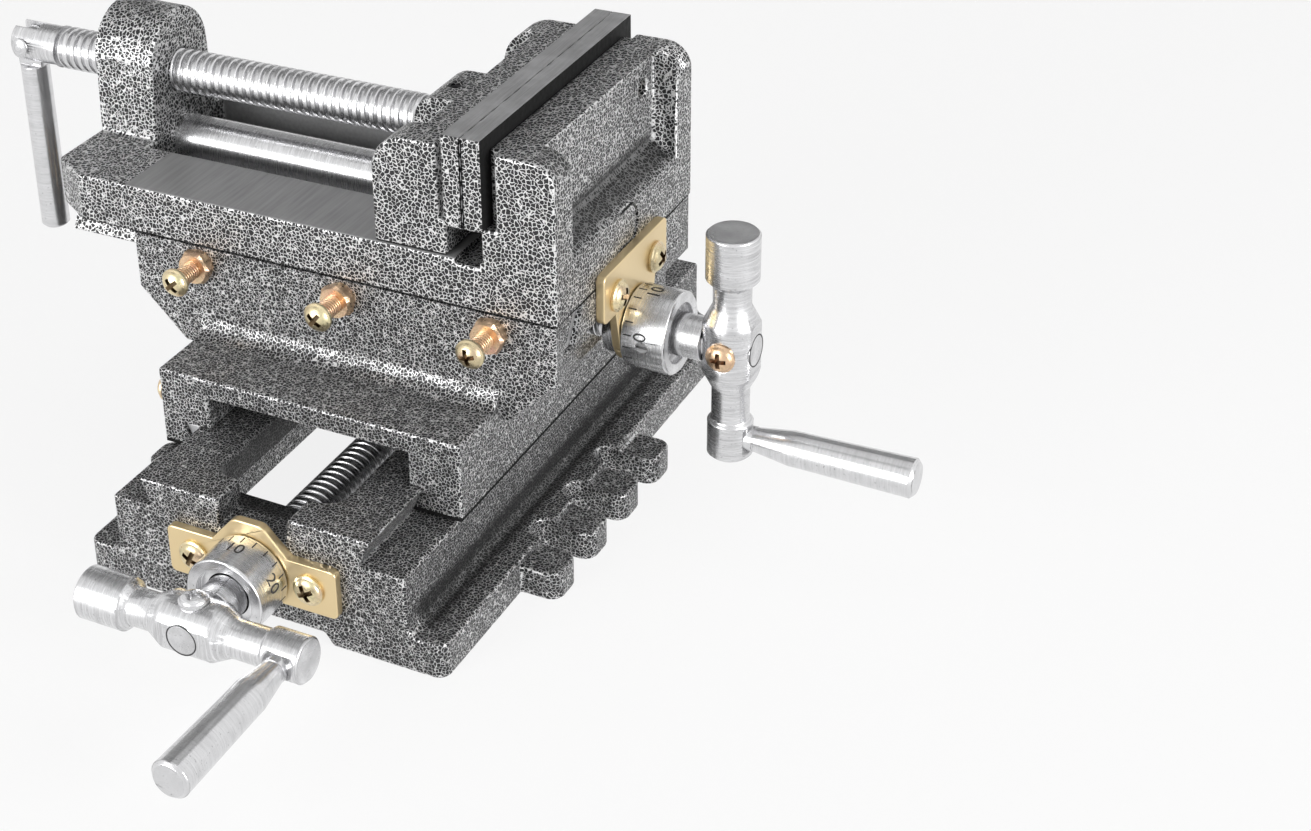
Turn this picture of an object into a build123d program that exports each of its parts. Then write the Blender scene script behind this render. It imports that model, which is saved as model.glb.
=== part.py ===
from build123d import *
from math import hypot, radians, tan
import os

# A cross slide vise for a drill press table. Millimetres. X runs along the clamping direction,
# Y along the base, Z up. The origin is the middle of the base on the table.

# Base casting
base_length = 207.0
flange_width = 125.0
flange_thickness = 12.0
flange_corner_radius = 4.0
block_width = 101.0
shoulder_height = 32.0
base_wall = 8.5
base_end_wall = 12.0
cavity_height = 28.6
cavity_corner_radius = 5.0
flange_root_radius = 3.0
foot_relief_height = 4.0
foot_relief_width = 44.0
foot_relief_run = 3.5

# Base rails, a male dovetail with a slot between its two halves
rail_height = 9.0
rail_root_width = 71.0
rail_slot_width = 43.0
rail_angle = 65.0
rail_slot_end_wall = 12.5
rail_slot_corner_radius = 6.0
rail_mouth_width = 24.0
window_end_wall = 17.5
window_flare = 4.0
window_lip = 1.0
window_corner_radius = 3.0

# Fastening lugs along both sides of the base
lug_reach = 12.5
lug_thickness = 9.5
lug_pitch = 23.0
lug_slot_width = 9.0
lug_slot_inset = 5.5
lug_count = 4
lug_row_y = -14.5
lug_corner_radius = 4.5

# Saddle casting
saddle_lower_length = 145.0
saddle_lower_width = 105.0
saddle_left = -75.5
saddle_right = 71.4
saddle_ledge_height = 59.0
saddle_pocket_width = 70.0
saddle_pocket_roof = 52.0
saddle_flare_height = 70.0
saddle_flare_run = 16.0
valley_top_width = 56.0
valley_width = 24.0
valley_floor = 57.0
valley_corner_radius = 4.0
ledge_root_radius = 6.0

# Bed casting, which carries the fixed jaw
bed_left = -108.0
bed_right = 72.0
bed_width = 95.0
bed_bottom = 89.25
bed_thickness = 16.0
bed_dovetail_depth = 11.25
bed_dovetail_width = 71.0
bed_dovetail_angle = 60.0
bed_channel_width = 43.0
bed_channel_depth = 14.75
bed_corner_cut_x = 13.0
bed_corner_cut_y = 8.0
relief_groove_x = 39.5
relief_groove_width = 8.0
relief_groove_depth = 1.6

# Screw boss at the bed's left end
boss_foot_width = 34.5
boss_arch_radius = 15.8
boss_thickness = 22.0
boss_arch_rise = 5.2

# Jaws
jaw_rise = 35.35
jaw_ledge_drop = 23.8
jaw_face_x = 50.3
fixed_ledge_x = 48.5
plate_thickness = 6.0
plate_width = 100.0
plate_height = 28.6
plate_end_relief = 3.0
plate_pad_width = 88.0
jaw_gap = 0.3
ear_thickness = 11.5
fixed_wall_back = 64.0
fixed_ear_radius = 8.0
fixed_pocket_rise = 1.55
pocket_floor_rise = 5.5
moving_jaw_left = 13.0
moving_wall_back = 25.0
moving_pocket_drop = 28.6
moving_boss_left = 7.0
moving_boss_width = 22.0
moving_boss_drop = 4.6
moving_boss_radius = 8.0
jaw_tongue_clearance = 1.5
groove_spacing = 7.0
groove_angle = 32.0
groove_width = 0.7
groove_depth = 0.4
plate_screw_spacing = 58.0
plate_screw_drop = 9.1
plate_screw_bite = 5.0

# Guide rod
rod_radius = 8.0
rod_drop = 5.85

# Clamp screw and its folding handle
clamp_rise = 18.25
clamp_radius = 7.0
clamp_core_radius = 5.9
clamp_pitch = 3.0
clamp_spigot_radius = 5.0
clamp_spigot_length = 13.0
clamp_neck_radius = 4.0
clamp_neck_offset = 8.5
clamp_neck_width = 5.5
retainer_radius = 2.5
retainer_socket = 2.5
retainer_sink = 1.0
clamp_head_start = -133.0
clamp_head_radius = 6.6
clamp_head_margin = 4.3
handle_pivot_x = -146.5
handle_radius = 4.9
handle_end_height = 55.0
tongue_thickness = 5.0
tongue_radius = 4.7
rivet_radius = 2.5
rivet_head_radius = 3.3
rivet_head_height = 1.2
rivet_head_rim = 0.4
rivet_head_crown = 0.6

# Gibs and their adjusting screws
gib_thickness = 5.0
gib_end_inset = 1.0
gib_edge_gap = 0.2
gib_screw_radius = 3.0
gib_screw_spacing = 51.0
gib_screw_exposed = 13.0
gib_screw_head_radius = 4.6
gib_screw_head_height = 3.4
nut_flats = 10.0
nut_thickness = 4.6
upper_gib_screw_height = 83.4
lower_gib_screw_height = 37.0
upper_gib_hole_depth = 16.0
lower_gib_hole_depth = 14.0
upper_gib_screw_relief = 3.8

# Feed screws, dials and cranks, measured outwards from the face that the keeper is screwed to
feed_pitch = 3.0
feed_radius = 7.0
feed_core_radius = 5.9
collar_radius = 10.0
collar_thickness = 4.0
journal_radius = 6.8
stub_radius = 4.9
keeper_thickness = 3.0
dial_radius = 13.0
dial_length = 14.5
dial_recess_radius = 9.5
dial_recess_depth = 2.5
dial_pin_radius = 2.0
pin_slot_width = 0.6
pin_slot_depth = 0.8
dial_chamfer = 0.6
x_crank_offset = 34.0
y_crank_offset = 31.5
hub_half_thickness = 7.9
hub_radius = 8.8
hub_barrel_half = 8.0
arm_radius = 5.8
knob_radius = 8.1
knob_start = 20.5
knob_end = 38.0
grip_offset = 31.0
grip_boss_radius = 7.0
grip_boss_half = 6.6
grip_spigot_radius = 4.0
grip_spigot_length = 8.0
grip_neck_radius = 3.8
grip_shoulder_radius = 5.5
grip_end_radius = 6.1
grip_taper_length = 13.0
grip_length = 52.0
grip_collar = 1.2
grip_shoulder_length = 3.0
grip_end_chamfer = 1.2
crank_screw_radius = 3.0
crank_screw_head_radius = 4.6
crank_screw_head_height = 3.0
screw_seat_depth = 0.6
hub_taper = 6.0
boss_taper = 1.5
knob_taper = 2.5
edge_chamfer = 0.8
x_feed_height = 67.5
y_feed_height = 21.0
x_feed_reach = 150.0
y_feed_reach = 170.0

# Feed nuts
nut_block_length = 24.0
nut_block_width = 22.0
x_nut_x = 42.0
x_nut_top = 76.5
y_nut_bottom = 10.5
nut_screw_radius = 3.0
nut_screw_head_radius = 6.0
nut_screw_head_height = 3.3
nut_screw_bite = 9.0

# Keeper plates
keeper_hole_radius = 7.1
keeper_screw_radius = 2.5
keeper_screw_bite = 9.0
keeper_screw_head_radius = 5.0
keeper_screw_head_height = 3.0
y_keeper_width = 58.5
y_keeper_height = 16.5
y_keeper_screw_spacing = 40.0
y_keeper_hump = 17.3
x_keeper_width = 44.5
x_keeper_height = 16.0
x_keeper_bar_height = 85.8
x_keeper_screw_spacing = 26.6
x_keeper_screw_height = 84.0
keeper_corner_radius = 2.0
hump_base_half = 13.0
hump_top_half = 5.0
hump_corner_radius = 4.0
keeper_rim = 1.2
tongue_shoulder_drop = 3.0

# Clearances
slide_clearance = 0.12
running_clearance = 0.06
thread_clearance = 0.08
free_clearance = 0.4
seat_clearance = 0.3
tapped_clearance = 0.02
hole_clearance = 0.1
plate_hole_clearance = 0.2
dial_gap = 0.15
cut_overlap = 1.0

# Levels and half sizes that follow
rail_top = shoulder_height + rail_height
rail_spread = rail_height / tan(radians(rail_angle))
rail_root = rail_root_width / 2
rail_slot = rail_slot_width / 2
saddle_roof = rail_top + slide_clearance
saddle_foot = shoulder_height + free_clearance
saddle_top = bed_bottom - slide_clearance
bed_top = bed_bottom + bed_thickness
bed_half = bed_width / 2
clamp_height = bed_top + clamp_rise
rod_height = bed_top - rod_drop
jaw_height = bed_top + jaw_rise
jaw_ledge_height = jaw_height - jaw_ledge_drop
fixed_pocket_lip = bed_top + fixed_pocket_rise
moving_pocket_lip = jaw_height - moving_pocket_drop
moving_boss_height = jaw_height - moving_boss_drop
plate_screw_height = jaw_height - plate_screw_drop
bed_root = bed_dovetail_width / 2
bed_spread = bed_dovetail_depth / tan(radians(bed_dovetail_angle))
dovetail_bottom = bed_bottom - bed_dovetail_depth
channel_floor = dovetail_bottom - seat_clearance
gib_gap = gib_thickness + 2 * slide_clearance
boss_centre = clamp_height + boss_arch_rise
boss_right = bed_left + boss_thickness
base_front = -base_length / 2
lower_half = saddle_lower_length / 2
fixed_casting_x = jaw_face_x + plate_end_relief
moving_face_x = jaw_face_x - 2 * plate_thickness - jaw_gap
moving_casting_x = moving_face_x - plate_end_relief
bed_channel_floor = bed_top - bed_channel_depth
jaw_tongue_bottom = bed_channel_floor + jaw_tongue_clearance

# Feed axes: the origin is on the keeper's seat, z points outwards and x to the crank's knob
x_feed = Plane(origin=(bed_right, 0, x_feed_height), x_dir=(0, 0, 1), z_dir=(1, 0, 0))
y_feed = Plane(origin=(0, base_front, y_feed_height), x_dir=(-1, 0, 0), z_dir=(0, -1, 0))
clamp_axis = Plane(origin=(moving_boss_left, 0, clamp_height), x_dir=(0, 0, 1), z_dir=(-1, 0, 0))


def beside(place, across=0.0, up=0.0, along=0.0):
    """The same plane moved by distances along its own x, y and z."""
    return Plane(origin=place.from_local_coords((across, up, along)), x_dir=place.x_dir, z_dir=place.z_dir)


def turned(profile, axis_plane):
    """A solid of revolution from (distance along the axis, radius) points."""
    start = (profile[0][0], 0.0)
    end = (profile[-1][0], 0.0)
    section = Plane(origin=axis_plane.origin, x_dir=axis_plane.z_dir, z_dir=axis_plane.x_dir)
    with BuildPart() as solid:
        with BuildSketch(section):
            with BuildLine():
                Polyline(start, *profile, end, close=True)
            make_face()
        revolve(axis=Axis(axis_plane.origin, axis_plane.z_dir))
    return solid


def thread_profile(start, end, radius, core, pitch):
    """Ring grooves, one for each turn, as (distance, radius) points from start to end."""
    turns = int(abs(end - start) / pitch)
    step = pitch if end > start else -pitch
    points = [(start, radius)]
    for turn in range(turns):
        crest = start + turn * step
        points.append((crest + 0.35 * step, radius))
        points.append((crest + 0.60 * step, core))
        points.append((crest + 0.75 * step, core))
        points.append((crest + step, radius))
    points.append((end, radius))
    return points


def cross_recess(place, radius, depth):
    """The space of a cross recess in a head whose top is at this plane."""
    with BuildPart() as recess:
        with BuildSketch(place):
            Rectangle(1.5 * radius, 0.28 * radius)
            Rectangle(0.28 * radius, 1.5 * radius)
        extrude(amount=-depth)
    return recess.part


def pan_screws(places, radius, length, head_radius, head_height):
    """Pan head screws, each seated with its head on its plane and its shank behind it."""
    with BuildPart() as screws:
        for place in places:
            with BuildSketch(place.offset(-length)):
                Circle(radius)
            extrude(amount=length)
            with BuildSketch(place):
                Circle(head_radius)
            head = extrude(amount=head_height)
            rim = head.edges().filter_by(GeomType.CIRCLE).sort_by(Axis(place.origin, place.z_dir))[-1]
            fillet(rim, 0.55 * head_height)
            add(cross_recess(place.offset(head_height), head_radius, 0.5 * head_height), mode=Mode.SUBTRACT)
    return screws


def countersunk_screws(places, radius, length, head_radius, head_height):
    """Countersunk screws, each flush with its plane."""
    with BuildPart() as screws:
        for place in places:
            with BuildSketch(place.offset(-length)):
                Circle(radius)
            extrude(amount=length - head_height)
            with BuildSketch(place.offset(-head_height)):
                Circle(radius)
            with BuildSketch(place):
                Circle(head_radius)
            loft()
            add(cross_recess(place, head_radius, 0.5 * head_height), mode=Mode.SUBTRACT)
    return screws


def locknuts(places, bore, flats, thickness):
    """Hexagon nuts standing on their planes."""
    with BuildPart() as nuts:
        for place in places:
            with BuildSketch(place):
                RegularPolygon(radius=flats / 2, side_count=6, major_radius=False)
                Circle(bore, mode=Mode.SUBTRACT)
            extrude(amount=thickness)
    return nuts


def feed_screw(axis_plane, reach, crank_offset):
    """Threaded spindle with a thrust collar behind the keeper and a stub for the crank."""
    collar_front = -hole_clearance
    collar_back = collar_front - collar_thickness
    hub_back = crank_offset - hub_half_thickness
    hub_front = crank_offset + hub_half_thickness
    thread = thread_profile(collar_back, -reach, feed_radius, feed_core_radius, feed_pitch)
    outline = list(reversed(thread))
    outline += [(collar_back, collar_radius), (collar_front, collar_radius), (collar_front, journal_radius)]
    outline += [(hub_back, journal_radius), (hub_back, stub_radius), (hub_front, stub_radius)]
    return turned(outline, axis_plane)


def feed_dial(axis_plane, pin_direction):
    """Graduated sleeve with a recessed outer end, drilled for its pin."""
    start = keeper_thickness + dial_gap
    with BuildPart() as dial:
        with BuildSketch(axis_plane.offset(start)):
            Circle(dial_radius)
            Circle(journal_radius + running_clearance, mode=Mode.SUBTRACT)
        extrude(amount=dial_length)
        with BuildSketch(axis_plane.offset(start + dial_length)):
            Circle(dial_recess_radius)
        extrude(amount=-dial_recess_depth, mode=Mode.SUBTRACT)
        rims = dial.edges().filter_by(GeomType.CIRCLE).filter_by(lambda edge: abs(edge.radius - dial_radius) < 0.01)
        chamfer(rims, dial_chamfer)
        centre = axis_plane.offset(start + dial_length / 2).origin
        with BuildSketch(Plane(origin=centre, z_dir=pin_direction)):
            Circle(dial_pin_radius)
        extrude(amount=dial_radius + 1, mode=Mode.SUBTRACT)
    return dial


def dial_pin(axis_plane, pin_direction):
    """Grub screw that locks the dial to its spindle."""
    centre = axis_plane.offset(keeper_thickness + dial_gap + dial_length / 2).origin
    place = Plane(origin=centre, z_dir=pin_direction)
    with BuildPart() as pin:
        with BuildSketch(place.offset(journal_radius)):
            Circle(dial_pin_radius - tapped_clearance)
        extrude(amount=dial_radius - journal_radius - seat_clearance)
        with BuildSketch(place.offset(dial_radius - seat_clearance)):
            Rectangle(pin_slot_width, 2 * dial_pin_radius + cut_overlap)
        extrude(amount=-pin_slot_depth, mode=Mode.SUBTRACT)
    return pin


def crank(axis_plane, crank_offset, screw_side):
    """Crank arm: a knob at one end, the hub, and a boss for the grip at the other end."""
    centre = beside(axis_plane, along=crank_offset)
    arm = Plane(origin=centre.origin, x_dir=centre.z_dir, z_dir=centre.x_dir)
    profile = [
        (-grip_offset - grip_boss_half, grip_boss_radius - edge_chamfer),
        (-grip_offset - grip_boss_half + edge_chamfer, grip_boss_radius),
        (-grip_offset + grip_boss_half - boss_taper, grip_boss_radius),
        (-grip_offset + grip_boss_half, arm_radius),
        (-hub_barrel_half - hub_taper, arm_radius),
        (-hub_barrel_half, hub_radius),
        (hub_barrel_half, hub_radius),
        (hub_barrel_half + hub_taper, arm_radius),
        (knob_start, arm_radius),
        (knob_start + knob_taper, knob_radius),
        (knob_end - edge_chamfer, knob_radius),
        (knob_end, knob_radius - edge_chamfer),
    ]
    blank = turned(profile, arm)
    grip_seat = beside(axis_plane, across=-grip_offset, along=crank_offset + grip_boss_radius)
    screw_normal = centre.y_dir * screw_side
    with BuildPart() as arm_piece:
        add(blank.part)
        with BuildSketch(centre.offset(hub_half_thickness)):
            Rectangle(4 * hub_radius, 4 * hub_radius)
        extrude(amount=hub_radius, mode=Mode.SUBTRACT)
        with BuildSketch(centre.offset(-hub_half_thickness)):
            Rectangle(4 * hub_radius, 4 * hub_radius)
        extrude(amount=-hub_radius, mode=Mode.SUBTRACT)
        with BuildSketch(centre.offset(-hub_radius)):
            Circle(stub_radius + running_clearance)
        extrude(amount=2 * hub_radius, mode=Mode.SUBTRACT)
        with BuildSketch(grip_seat):
            Circle(grip_spigot_radius + tapped_clearance)
        extrude(amount=-grip_spigot_length, mode=Mode.SUBTRACT)
        with BuildSketch(Plane(origin=centre.origin, z_dir=screw_normal)):
            Circle(crank_screw_radius + tapped_clearance)
        extrude(amount=hub_radius + 1, mode=Mode.SUBTRACT)
        with BuildSketch(Plane(origin=centre.origin, z_dir=screw_normal).offset(hub_radius - screw_seat_depth)):
            Circle(crank_screw_head_radius + seat_clearance)
        extrude(amount=2 * screw_seat_depth, mode=Mode.SUBTRACT)
    return arm_piece


def crank_grip(axis_plane, crank_offset):
    """Tapered grip with a spigot that sits in the crank's boss."""
    grip_axis = beside(axis_plane, across=-grip_offset)
    seat = crank_offset + grip_boss_radius
    profile = [
        (seat - grip_spigot_length + seat_clearance, grip_spigot_radius),
        (seat + grip_collar, grip_spigot_radius),
        (seat + grip_collar, grip_neck_radius),
        (seat + grip_taper_length, grip_shoulder_radius),
        (seat + grip_taper_length + grip_shoulder_length, grip_shoulder_radius),
        (seat + grip_length - grip_end_chamfer, grip_end_radius),
        (seat + grip_length, grip_end_radius - grip_end_chamfer),
    ]
    return turned(profile, grip_axis)


def crank_screw(axis_plane, crank_offset, screw_side):
    """Locking screw of the crank, bearing on the spindle's stub."""
    centre = beside(axis_plane, along=crank_offset)
    normal = centre.y_dir * screw_side
    seat = Plane(origin=centre.origin, z_dir=normal).offset(hub_radius - screw_seat_depth)
    length = hub_radius - screw_seat_depth - stub_radius
    return pan_screws([seat], crank_screw_radius, length, crank_screw_head_radius, crank_screw_head_height)


def slide_gib(male_root, spread, low, high, length, axis_plane):
    """Parallelogram bar beside a dovetail flank; the profile's x is outwards, its y upwards."""
    height = high - low
    with BuildPart() as gib:
        with BuildSketch(axis_plane):
            with BuildLine():
                Polyline(
                    (male_root, high),
                    (male_root + gib_thickness, high),
                    (male_root + gib_thickness + spread * height, low),
                    (male_root + spread * height, low),
                    close=True,
                )
            make_face()
        extrude(amount=length / 2, both=True)
    return gib


# Base casting
with BuildPart() as base:
    with BuildSketch():
        RectangleRounded(flange_width, base_length, flange_corner_radius)
    extrude(amount=flange_thickness)
    with BuildSketch():
        Rectangle(block_width, base_length)
    extrude(amount=shoulder_height)
    with BuildSketch(Plane.XZ):
        with BuildLine():
            Polyline(
                (-rail_root, shoulder_height),
                (-rail_root - rail_spread, rail_top),
                (rail_root + rail_spread, rail_top),
                (rail_root, shoulder_height),
                close=True,
            )
        make_face()
    extrude(amount=base_length / 2, both=True)
    # Lugs with open slots between them, which run into the flange
    lug_width = lug_pitch - lug_slot_width
    lug_middles = [lug_row_y + (lug - (lug_count - 1) / 2) * lug_pitch for lug in range(lug_count)]
    slot_middles = [(low + high) / 2 for low, high in zip(lug_middles, lug_middles[1:])]
    slot_length = lug_reach + lug_slot_inset
    for side in (-1, 1):
        with BuildSketch():
            with Locations(*[(side * flange_width / 2, middle) for middle in lug_middles]):
                RectangleRounded(2 * lug_reach, lug_width, lug_corner_radius)
        extrude(amount=lug_thickness)
        slot_end_x = flange_width / 2 - lug_slot_inset + lug_slot_width / 2
        with BuildSketch():
            for middle in slot_middles:
                with Locations((side * slot_end_x, middle)):
                    Circle(lug_slot_width / 2)
                with Locations((side * (slot_end_x + slot_length / 2), middle)):
                    Rectangle(slot_length, lug_slot_width)
        extrude(amount=flange_thickness + 1, mode=Mode.SUBTRACT)
    # Hollow underside, flared window between the rails and the slot with its narrow mouths
    with BuildSketch():
        RectangleRounded(block_width - 2 * base_wall, base_length - 2 * base_end_wall, cavity_corner_radius)
    extrude(amount=cavity_height, mode=Mode.SUBTRACT)
    window_length = base_length - 2 * window_end_wall
    with BuildSketch(Plane.XY.offset(cavity_height - 1)):
        RectangleRounded(rail_slot_width, window_length, window_corner_radius)
    extrude(amount=rail_top, mode=Mode.SUBTRACT)
    with BuildSketch(Plane.XZ):
        with BuildLine():
            Polyline(
                (-rail_slot - hole_clearance, shoulder_height - window_lip),
                (-rail_slot - window_flare, cavity_height - 1),
                (rail_slot + window_flare, cavity_height - 1),
                (rail_slot + hole_clearance, shoulder_height - window_lip),
                close=True,
            )
        make_face()
    extrude(amount=window_length / 2 - 2 * window_corner_radius, both=True, mode=Mode.SUBTRACT)
    with BuildSketch(Plane.XY.offset(shoulder_height)):
        Rectangle(rail_mouth_width, base_length)
        RectangleRounded(rail_slot_width, base_length - 2 * rail_slot_end_wall, rail_slot_corner_radius)
    extrude(amount=rail_height, mode=Mode.SUBTRACT)
    # Relief under both end walls, which leaves four feet
    with BuildSketch(Plane.XZ):
        with BuildLine():
            Polyline(
                (-foot_relief_width / 2 - foot_relief_run, -1),
                (-foot_relief_width / 2, foot_relief_height),
                (foot_relief_width / 2, foot_relief_height),
                (foot_relief_width / 2 + foot_relief_run, -1),
                close=True,
            )
        make_face()
    extrude(amount=base_length, both=True, mode=Mode.SUBTRACT)
    # Bearing of the feed screw, pocket of its collar and the keeper's tapped holes
    with BuildSketch(y_feed):
        Circle(feed_radius + free_clearance)
    extrude(amount=-base_end_wall - cut_overlap, mode=Mode.SUBTRACT)
    with BuildSketch(y_feed):
        Circle(collar_radius + seat_clearance)
    extrude(amount=-collar_thickness - seat_clearance, mode=Mode.SUBTRACT)
    with BuildSketch(y_feed):
        with GridLocations(y_keeper_screw_spacing, 1, 2, 1):
            Circle(keeper_screw_radius + tapped_clearance)
    extrude(amount=-keeper_screw_bite, mode=Mode.SUBTRACT)
    root_level = [edge for edge in base.edges().filter_by(Axis.Y) if abs(edge.center().Z - flange_thickness) < 0.01]
    root_edges = [edge for edge in root_level if abs(abs(edge.center().X) - block_width / 2) < 0.01]
    fillet(root_edges, flange_root_radius)

# Saddle casting
with BuildPart() as saddle:
    with BuildSketch(Plane.XY.offset(saddle_foot)):
        Rectangle(saddle_lower_width, saddle_lower_length)
    extrude(amount=saddle_ledge_height - saddle_foot)
    with BuildSketch(Plane.XZ):
        with BuildLine():
            Polyline(
                (saddle_left, saddle_top),
                (saddle_right, saddle_top),
                (saddle_right, saddle_flare_height),
                (saddle_right - saddle_flare_run, saddle_flare_height - saddle_flare_run),
                (saddle_left + saddle_flare_run, saddle_flare_height - saddle_flare_run),
                (saddle_left, saddle_flare_height),
                close=True,
            )
        make_face()
    extrude(amount=bed_half, both=True)
    ledge_edges = [edge for edge in saddle.edges().filter_by(Axis.X)
                   if abs(edge.center().Z - saddle_ledge_height) < 0.01 and abs(abs(edge.center().Y) - bed_half) < 0.01]
    fillet(ledge_edges, ledge_root_radius)
    # Lower slot: a female dovetail, wider by the gib on its left side, with a relief above the rails
    mouth_right = rail_root + slide_clearance
    mouth_left = -rail_root - gib_gap
    foot_drop = (rail_top - saddle_foot) / tan(radians(rail_angle))
    with BuildSketch(Plane.XZ):
        with BuildLine():
            Polyline(
                (mouth_right + rail_spread - foot_drop - 0.2, saddle_foot - 0.5),
                (mouth_right + rail_spread, saddle_roof),
                (mouth_left - rail_spread, saddle_roof),
                (mouth_left - rail_spread + foot_drop + 0.2, saddle_foot - 0.5),
                close=True,
            )
        make_face()
    extrude(amount=saddle_lower_length, both=True, mode=Mode.SUBTRACT)
    with BuildSketch(Plane.XZ.offset(-saddle_lower_length)):
        with Locations((0, (saddle_roof + saddle_pocket_roof) / 2 - 0.5)):
            Rectangle(saddle_pocket_width, saddle_pocket_roof - saddle_roof + 1)
    extrude(amount=2 * saddle_lower_length, mode=Mode.SUBTRACT)
    # Upper channel: a female dovetail over a valley for the feed screw
    slot_root = bed_root + slide_clearance
    channel_spread = (saddle_top - channel_floor) / tan(radians(bed_dovetail_angle))
    with BuildSketch(Plane.YZ.offset(-base_length)):
        with BuildLine():
            Polyline(
                (-slot_root, saddle_top + 0.01),
                (-slot_root - channel_spread, channel_floor),
                (slot_root + channel_spread, channel_floor),
                (slot_root, saddle_top + 0.01),
                close=True,
            )
        make_face()
    extrude(amount=2 * base_length, mode=Mode.SUBTRACT)
    with BuildSketch(Plane.YZ.offset(-base_length)):
        with BuildLine():
            Polyline(
                (-valley_top_width / 2, channel_floor + 0.5),
                (-valley_width / 2, x_feed_height),
                (-valley_width / 2, valley_floor),
                (valley_width / 2, valley_floor),
                (valley_width / 2, x_feed_height),
                (valley_top_width / 2, channel_floor + 0.5),
                close=True,
            )
        valley = make_face()
        fillet(valley.vertices().group_by(Axis.Y)[0], valley_corner_radius)
    extrude(amount=2 * base_length, mode=Mode.SUBTRACT)
    # Tapped holes of both rows of gib screws
    for place in (-gib_screw_spacing, 0, gib_screw_spacing):
        with BuildSketch(Plane.XZ.offset(bed_half)):
            with Locations((place, upper_gib_screw_height)):
                Circle(gib_screw_radius + tapped_clearance)
        extrude(amount=-upper_gib_hole_depth, mode=Mode.SUBTRACT)
        with BuildSketch(Plane.YZ.offset(-saddle_lower_width / 2)):
            with Locations((place, lower_gib_screw_height)):
                Circle(gib_screw_radius + tapped_clearance)
        extrude(amount=lower_gib_hole_depth, mode=Mode.SUBTRACT)
    # Countersunk holes of the feed nuts' screws
    with BuildSketch(Plane.XY.offset(saddle_pocket_roof - 1)):
        Circle(nut_screw_radius + hole_clearance)
        with Locations((x_nut_x, 0)):
            Circle(nut_screw_radius + hole_clearance)
    extrude(amount=valley_floor - saddle_pocket_roof + 2, mode=Mode.SUBTRACT)
    with BuildSketch(Plane.XY.offset(valley_floor - nut_screw_head_height)):
        Circle(nut_screw_radius + hole_clearance)
    with BuildSketch(Plane.XY.offset(valley_floor)):
        Circle(nut_screw_head_radius + hole_clearance)
    loft(mode=Mode.SUBTRACT)
    with BuildSketch(Plane.XY.offset(saddle_pocket_roof + nut_screw_head_height)):
        with Locations((x_nut_x, 0)):
            Circle(nut_screw_radius + hole_clearance)
    with BuildSketch(Plane.XY.offset(saddle_pocket_roof)):
        with Locations((x_nut_x, 0)):
            Circle(nut_screw_head_radius + hole_clearance)
    loft(mode=Mode.SUBTRACT)

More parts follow.
